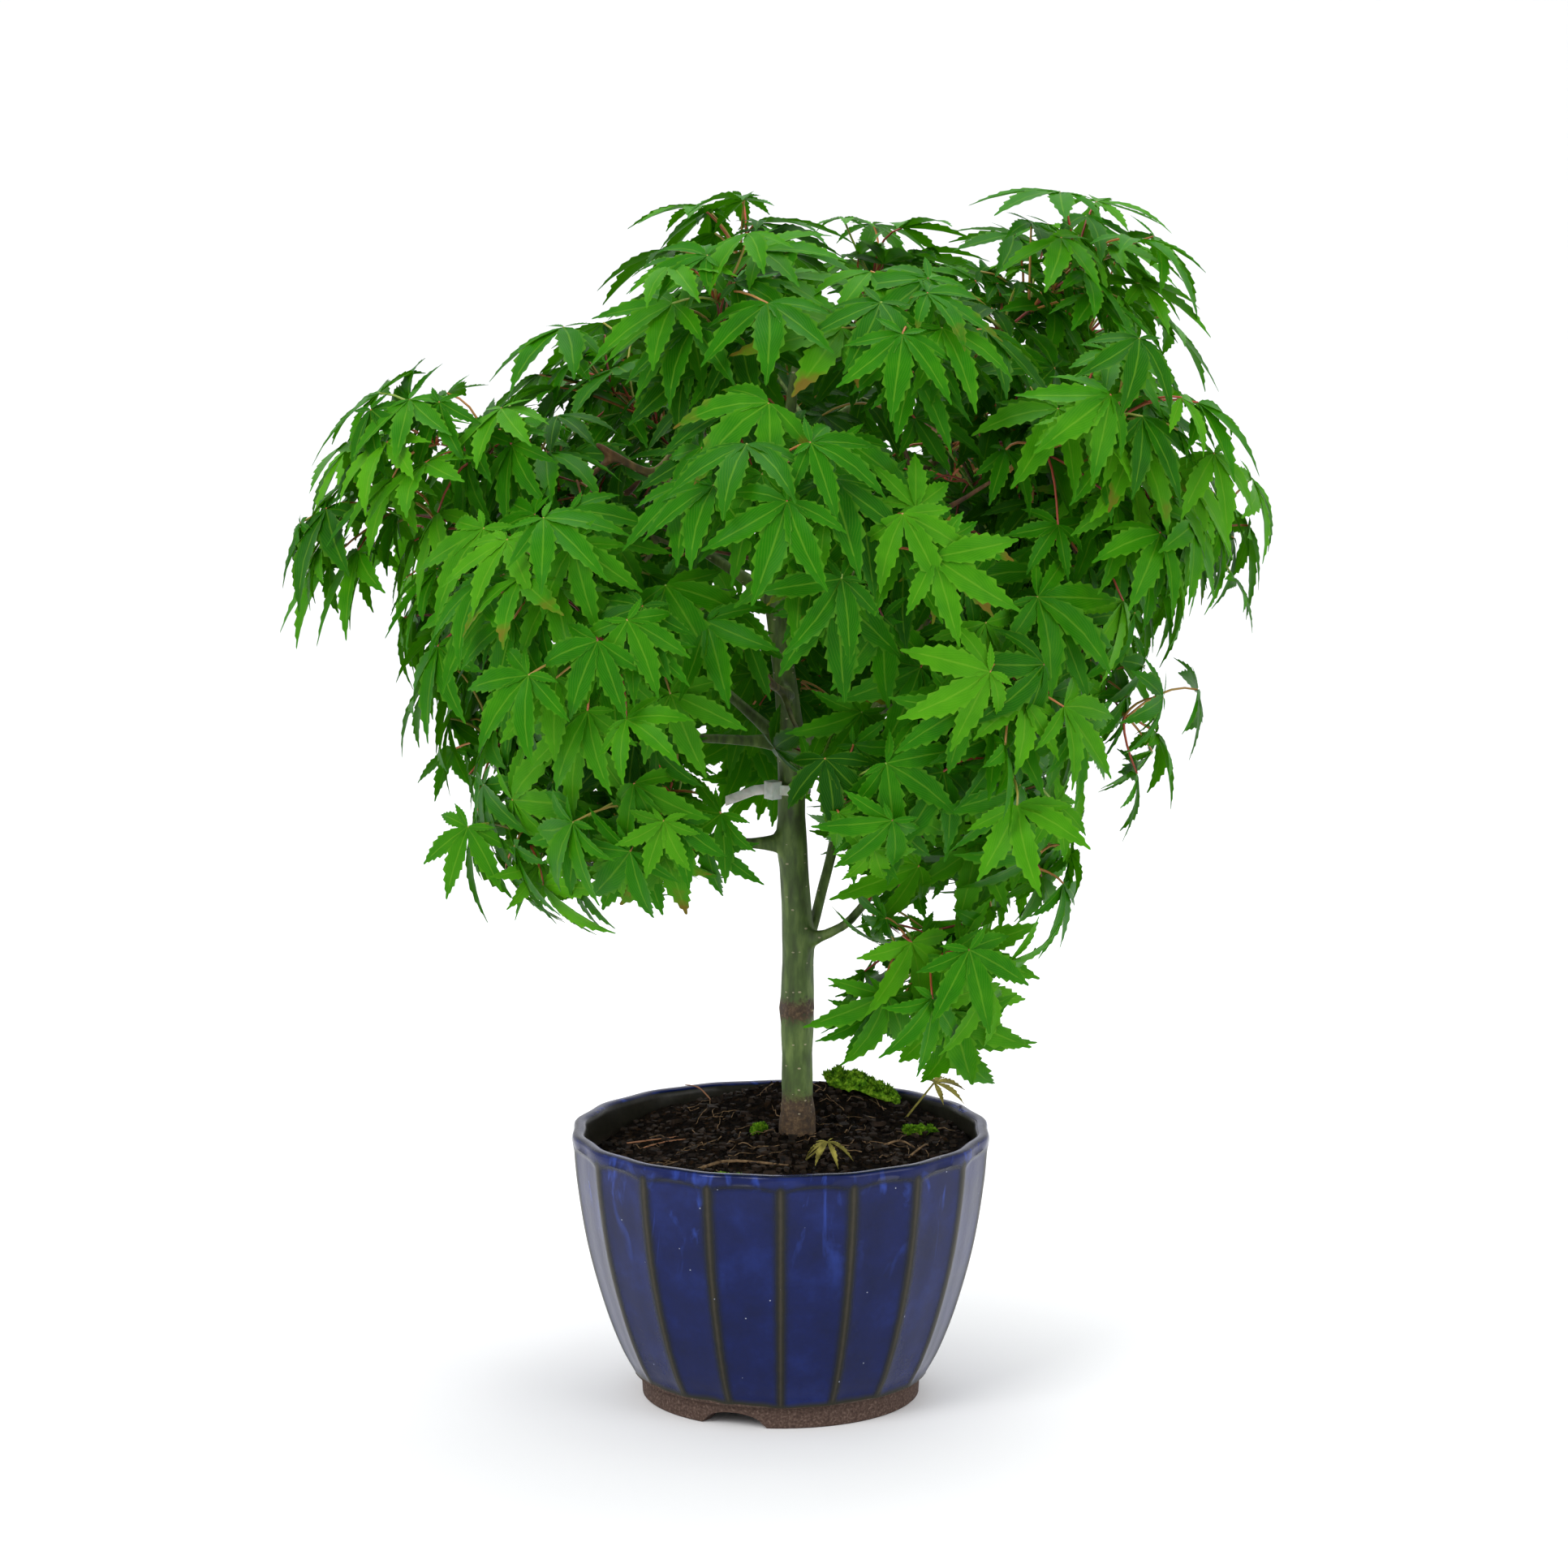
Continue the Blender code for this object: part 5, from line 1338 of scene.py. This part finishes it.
@dataclass
class LeafMaker:
    """Makes palmate leaves: toothed lobes folded along their ribs, joined only near the hub."""

    width: float = 0.315
    fold: float = 0.24
    teeth: int = 8
    notch: float = 0.81
    tooth: float = 1.07
    joint: float = 0.88
    burnt_share: float = 0.035
    profile: tuple[tuple[float, float], ...] = (
        (0.0, 0.24), (0.12, 0.56), (0.22, 0.76), (0.38, 1.0), (0.55, 0.92), (0.70, 0.66), (0.83, 0.36),
        (0.93, 0.14), (1.0, 0.0),
    )
    verts: list[Vector] = field(default_factory=list)
    faces: Faces = field(default_factory=list)
    across: list[float] = field(default_factory=list)
    along: list[float] = field(default_factory=list)
    tint: list[float] = field(default_factory=list)
    burnt: list[float] = field(default_factory=list)
    flat: list[tuple[float, float]] = field(default_factory=list)
    leaves: int = 0

    def half_width(self, share: float) -> float:
        """Finds the lobe's half width.

        Args:
            share: a share of the lobe's length.

        Returns:
            The half width, as a share of its widest.
        """
        for (a, low), (b, high) in zip(self.profile, self.profile[1:]):
            if share <= b:
                return low + (high - low) * (share - a) / (b - a)
        return 0.0

    def add_point(
        self, place: Vector, marks: tuple[float, float, float, float], flat: tuple[float, float]
    ) -> int:
        """Adds a point.

        Args:
            place: where it is.
            marks: its across, along, tint and burnt attributes.
            flat: its place on the flat leaf.

        Returns:
            Its number.
        """
        self.verts.append(place)
        for values, mark in zip((self.across, self.along, self.tint, self.burnt), marks):
            values.append(mark)
        self.flat.append(flat)
        return len(self.verts) - 1

    def add_lobe(
        self,
        site: LeafSite,
        hub: int,
        tip: Vector,
        flat_turn: float,
        tint: float,
        burnt: float,
        rng: random.Random,
        curl: float,
    ) -> None:
        """Adds one lobe.

        Args:
            site: the leaf it belongs to.
            hub: the number of the leaf's hub point.
            tip: where the lobe ends.
            flat_turn: its angle on the flat leaf, for its map.
            tint: the leaf's own tint.
            burnt: how brown its tip is.
            rng: the source of small differences.
            curl: how far the lobe bows up in its middle, as a share of its length.
        """
        way = tip - site.hub
        length = way.length
        forward = way.normalized()
        side = site.normal.cross(forward).normalized()
        up = forward.cross(side)
        wide = self.width * length * rng.uniform(0.46, 0.54)
        fold = self.fold * rng.uniform(0.5, 1.5)
        shares = (0.0, 0.27, 0.52, 0.78, 1.0)
        sway = rng.uniform(-0.05, 0.05) * length
        flat_x, flat_y = math.cos(flat_turn), math.sin(flat_turn)

        def add(share: float, out: float, across: float) -> int:
            """Adds a point of the lobe.

            Args:
                share: how far along the rib, from 0 to 1.
                out: how far from the rib, over 0 on one side and under 0 on the other.
                across: 0 on the rib and 1 on the edge.

            Returns:
                The point's number.
            """
            middle = site.hub + way * share + up * (curl * 4 * share * (1 - share) * length)
            middle += side * (sway * 4 * share * (1 - share))
            place = middle + side * (out * math.cos(fold)) + up * (abs(out) * math.sin(fold))
            scale = share * length / site.length
            offset = out / site.length
            flat = (flat_x * scale - flat_y * offset, flat_y * scale + flat_x * offset)
            return self.add_point(place, (across, share, tint, burnt * share), flat)

        ribs = [hub] + [add(share, 0.0, 0.0) for share in shares[1:]]
        for sign in (1, -1):
            edge_start = None
            for section, (low, high) in enumerate(zip(shares, shares[1:])):
                outline = [edge_start] if edge_start is not None else []
                count = max(1, round(self.teeth * (high - low)))
                step = (high - low) / count
                for tooth in range(count):
                    base = low + step * tooth
                    if base > 0.10 and (tooth or edge_start is None):
                        place = base + 0.10 * step
                        outline.append(add(place, sign * (self.half_width(place) * wide * self.notch), 0.93))
                    place = base + 0.80 * step
                    if place < 0.985:
                        out = self.half_width(base + 0.55 * step) * wide * self.tooth
                        outline.append(add(place, sign * out, 1.0))
                if section < len(shares) - 2:
                    edge_start = add(high, sign * (self.half_width(high) * wide * self.joint), 0.93)
                    outline.append(edge_start)
                loop = [ribs[section], *outline, ribs[section + 1]]
                if sign > 0:
                    loop.reverse()
                self.faces.append(tuple(loop))

    def add_leaf(self, site: LeafSite, rng: random.Random, tint: float) -> None:
        """Adds one leaf, with two small lobes beside the stalk on most leaves.

        Args:
            site: where it sits.
            rng: the shoot's own source of numbers.
            tint: its colour, from 0, dark, to 1, bright; on the shoots it holds painted shade, darker deep in
                the crown, and painted sunlight on the outer leaves.
        """
        self.leaves += 1
        burnt = 1.0 if rng.random() < self.burnt_share else 0.0
        hub = self.add_point(site.hub.copy(), (0.0, 0.0, tint, 0.0), (0.0, 0.0))
        count = len(site.tips)
        for i, tip in enumerate(site.tips):
            turn = (i - (count - 1) / 2) * 0.75
            self.add_lobe(site, hub, tip, turn, tint, burnt, rng, rng.uniform(0.03, 0.10))
        if rng.random() < 0.7:
            left = site.axis.cross(site.normal).normalized()
            for sign in (1, -1):
                way = -site.axis * rng.uniform(0.45, 0.75) + left * sign - site.normal * 0.25
                tip = site.hub + way.normalized() * site.length * rng.uniform(0.26, 0.38)
                self.add_lobe(site, hub, tip, -sign * 2.25, tint, burnt, rng, 0.02)

    def to_object(self, name: str) -> Thing:
        """Makes the leaves one object with its attributes.

        Args:
            name: the object's name.

        Returns:
            The object.
        """
        made = mesh_object(name, self.verts, self.faces)
        for attribute_name in ("across", "along", "tint", "burnt"):
            set_attribute(made.data, attribute_name, getattr(self, attribute_name))
        made.data.shade_smooth()
        return made


@dataclass
class Foliage:
    """The leafy shoots: the CAD leaves with their real outline, and more leaves between them."""

    extra_per_shoot: int = 16
    spacing: float = 0.0148
    stalk: float = 0.56 * MM
    crown_middle: Vector = field(default_factory=lambda: Vector((0.008, 0.0, 0.415)))
    hubs: list[Vector] = field(default_factory=list)
    kept_clear: list[tuple[Vector, float]] = field(
        default_factory=lambda: [
            (sum(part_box("cable_tie"), Vector()) / 2, 0.021),
            (Vector((0.008, -0.008, 0.262)), 0.013),
            (Vector((0.008, -0.008, 0.240)), 0.016),
            (Vector((0.008, -0.008, 0.215)), 0.018),
        ]
    )

    def in_view(self, place: Vector) -> bool:
        """Tells whether a leaf at a place would hide the tie or the bare trunk from the front.

        Args:
            place: a point of the leaf.

        Returns:
            True if it would.
        """
        for spot, clear in self.kept_clear:
            sight = (Vector(Studio.eye) - spot).normalized()
            along = (place - spot).dot(sight)
            if along > 0.0 and (place - spot - sight * along).length < clear:
                return True
        return False

    def bent_stalk(self, start: Vector, hub: Vector, rng: random.Random) -> list[Vector]:
        """Draws a stalk, bowed a little as it grows towards the light.

        Args:
            start: where it leaves the twig.
            hub: the leaf's hub.
            rng: the shoot's own source of numbers.

        Returns:
            The points of its path.
        """
        reach = (hub - start).length
        bow = Vector((rng.uniform(-0.10, 0.10), rng.uniform(-0.10, 0.10), rng.uniform(0.02, 0.16))) * reach
        return [start.lerp(hub, t) + bow * 4 * t * (1 - t) for t in (0.0, 0.2, 0.4, 0.6, 0.8, 1.0)]

    def extra_site(self, points: list[Vector], rng: random.Random) -> LeafSite | None:
        """Finds room for a further leaf on a twig.

        Args:
            points: points of the twig that it may grow from.
            rng: the shoot's own source of numbers.

        Returns:
            The site, or None where there is no room.
        """
        for _ in range(26):
            start = rng.choice(points)
            away = (start - self.crown_middle).normalized()
            way = Vector((rng.uniform(-1, 1), rng.uniform(-1, 1), rng.uniform(-0.5, 1))) + away * 0.5
            hub = start + way.normalized() * rng.uniform(0.012, 0.036)
            if min((hub - other).length for other in self.hubs) < self.spacing:
                continue
            out = (hub - self.crown_middle).normalized()
            tilt = Vector((rng.gauss(0, 0.25), rng.gauss(0, 0.25) - 0.06, 0.5 + rng.gauss(0, 0.2)))
            normal = (out * 0.8 + tilt).normalized()
            fall = way * 0.3 + Vector((rng.gauss(0, 0.35), rng.gauss(0, 0.35), -0.6))
            axis = (fall - normal * fall.dot(normal)).normalized()
            left = axis.cross(normal)
            length = rng.uniform(0.027, 0.043)
            droop = rng.uniform(0.14, 0.52)
            tips = []
            for angle, share in ((86, 0.62), (44, 0.90), (0, 1.0), (-44, 0.90), (-86, 0.62)):
                turn = math.radians(angle + rng.uniform(-5, 5))
                flat = axis * math.cos(turn) + left * math.sin(turn)
                fall_by = droop + (0.12 if abs(angle) > 60 else 0.0)
                tips.append(hub + share * length * (flat * math.cos(fall_by) - normal * math.sin(fall_by)))
            low, high = CAD_BOX
            if any(self.in_view(place) for tip in tips for place in (tip, tip.lerp(hub, 0.5), hub)):
                continue
            if all(low[i] < tip[i] < high[i] for tip in tips for i in range(3)):
                return LeafSite(hub, normal, tips, start)
        return None

    def lay_map(self, piece: Thing, maker: LeafMaker, owners: list[int]) -> None:
        """Lays each leaf flat in its own cell of the piece's map, and the stalks in the last cell.

        Args:
            piece: the joined shoot.
            maker: the leaves, for their flat places.
            owners: the leaf number of each leaf point.
        """
        cells = math.ceil(math.sqrt(maker.leaves + 1))
        layer = piece.data.uv_layers.new(name="OFBake")
        known = len(maker.flat)
        for loop in piece.data.loops:
            number = loop.vertex_index
            if number < known:
                u, v = maker.flat[number]
                cell = owners[number]
                u, v = 0.40 + u * 0.46, 0.5 + v * 0.46
            else:
                cell = maker.leaves
                place = piece.data.vertices[number].co
                u, v = (place.x * 11.0) % 1.0, (place.z * 11.0) % 1.0
            u, v = min(0.98, max(0.02, u)), min(0.98, max(0.02, v))
            layer.data[loop.index].uv = ((cell % cells + u) / cells, (cell // cells + v) / cells)

    def add_shoot(self, node: str, number: int) -> None:
        """Builds one leafy shoot in place of its CAD node.

        Args:
            node: the CAD node.
            number: the shoot's number, which starts its source of numbers.
        """
        rng = random.Random(100 + number)
        reader = ShootReader(node)
        sites = reader.read()
        points = reader.twig_points()
        for _ in range(self.extra_per_shoot):
            extra = self.extra_site(points, rng)
            if extra:
                sites.append(extra)
                self.hubs.append(extra.hub)
        maker = LeafMaker()
        owners: list[int] = []
        stalks = Tubes()
        for index, site in enumerate(sites):
            # painted shade and light: leaves near the middle of the crown get a darker tint, the outer ones a
            # brighter, sunlit tint, with a random spread on top
            depth = (site.hub - self.crown_middle).length
            tint = 0.10 + 0.52 * smoothstep(0.06, 0.22, depth) + rng.gauss(0.0, 0.15)
            maker.add_leaf(site, rng, min(1.0, max(0.0, tint)))
            owners += [index] * (len(maker.verts) - len(owners))
            redness = min(1.0, max(0.0, rng.gauss(0.52, 0.28)))
            path = self.bent_stalk(site.stalk_start, site.hub, rng)
            stalks.add(path, self.stalk * 1.25, self.stalk * 0.9, 5, redness)
        leaves = maker.to_object("leafy_" + node)
        twig = reader.twig_object("twig_" + node)
        reader.close()
        set_attribute(twig.data, "tint", [0.95] * len(twig.data.vertices))
        twig.data.shade_smooth()
        stems = stalks.to_object("stalks_" + node)
        leaves.data.materials.append(Wear.LEAF.value.material())
        for part in (twig, stems):
            Wear.STALK.value.dress(part)
        make_active(leaves)
        twig.select_set(True)
        stems.select_set(True)
        bpy.ops.object.join()
        self.lay_map(leaves, maker, owners)
        finish_piece(leaves, "maple_leaf", node)

    def build(self) -> None:
        """Builds every shoot."""
        nodes = sorted(name for name in CAD_NODES if name.startswith("shoot_"))
        for node in nodes:
            reader = ShootReader(node)
            self.hubs += [site.hub for site in reader.read()]
            reader.close()
        LOG.info("%d leaves in the CAD model", len(self.hubs))
        for number, node in enumerate(nodes):
            self.add_shoot(node, number)
        LOG.info("%d leaves in all", len(self.hubs))


@dataclass
class Wood:
    """The trunk and its branches, rounded from the CAD wood, with bark roughened at the foot."""

    def build(self) -> None:
        """Builds the wood."""
        wood = copy_of("trunk_and_branches", "living_wood")
        add_modifier(wood, "SUBSURF", levels=2, render_levels=2)
        youth = []
        normals = [vertex.normal.copy() for vertex in wood.data.vertices]
        for vertex, normal in zip(wood.data.vertices, normals):
            place = vertex.co.copy()
            rough = smoothstep(0.156, 0.142, place.z)
            ring = math.exp(-(((place.z - CALLUS) / 0.004) ** 2))
            amount = 0.00018 + 0.0009 * rough + 0.0010 * ring
            vertex.co = place + normal * amount * noise.noise(place * 330)
            out = math.hypot(place.x - 0.006, place.y)
            youth.append(smoothstep(0.035, 0.115, out) * 0.9)
        set_attribute(wood.data, "youth", youth)
        wood.data.shade_smooth()
        Wear.BARK.value.dress(wood)
        finish_piece(wood, "maple_bark", "trunk_and_branches")


@dataclass
class CableTie:
    """The nylon tie round the trunk, with softened edges."""

    edge: float = 0.25 * MM

    def build(self) -> None:
        """Builds the tie."""
        tie = copy_of("cable_tie", "nylon_tie")
        corner = math.radians(50)
        add_modifier(tie, "BEVEL", width=self.edge, segments=2, limit_method="ANGLE", angle_limit=corner)
        smooth(tie, 40)
        Wear.NYLON.value.dress(tie)
        finish_piece(tie, "white_nylon", "cable_tie")


@dataclass
class FallenLeaves:
    """The two dead leaves, curled and dry, with their stalks."""

    thick: float = 0.6 * MM
    thin: float = 0.5 * MM

    def build(self) -> None:
        """Builds both."""
        for number, node in enumerate(("withered_leaf", "dry_leaf_on_rim")):
            rng = random.Random(60 + number)
            reader = ShootReader(node)
            sites = reader.read()
            reader.close()
            maker = LeafMaker(width=0.30, fold=0.7)
            stalks = Tubes()
            for site in sites:
                maker.add_leaf(site, rng, 0.5)
                path = [site.stalk_start.lerp(site.hub, share) for share in (0.0, 0.5, 1.0)]
                stalks.add(path, self.thick, self.thin, 6, 0.5)
            leaf = maker.to_object("curled_" + node)
            stem = stalks.to_object("stalk_" + node)
            make_active(leaf)
            stem.select_set(True)
            bpy.ops.object.join()
            Wear.DRY_LEAF.value.dress(leaf)
            finish_piece(leaf, "dry_leaf", node)


# -------------------------------------------------------------------------------------------------- main


def main() -> None:
    """Builds the studio, then every sub-assembly in order."""
    logging.basicConfig(level=logging.INFO, format="%(name)s: %(message)s")
    Studio().build()
    Pot().build()
    ground = Ground()
    SoilBed(ground).build()
    MossCushion("moss_front").build()
    MossCushion("moss_by_trunk").build()
    MossCushion("moss_back", shoots=1700, swell=1.6).build()
    MossCushion("moss_right", shoots=1500, swell=1.5).build()
    Litter().build()
    FallenLeaves().build()
    Wood().build()
    CableTie().build()
    Foliage().build()


if __name__ == "__main__":
    main()
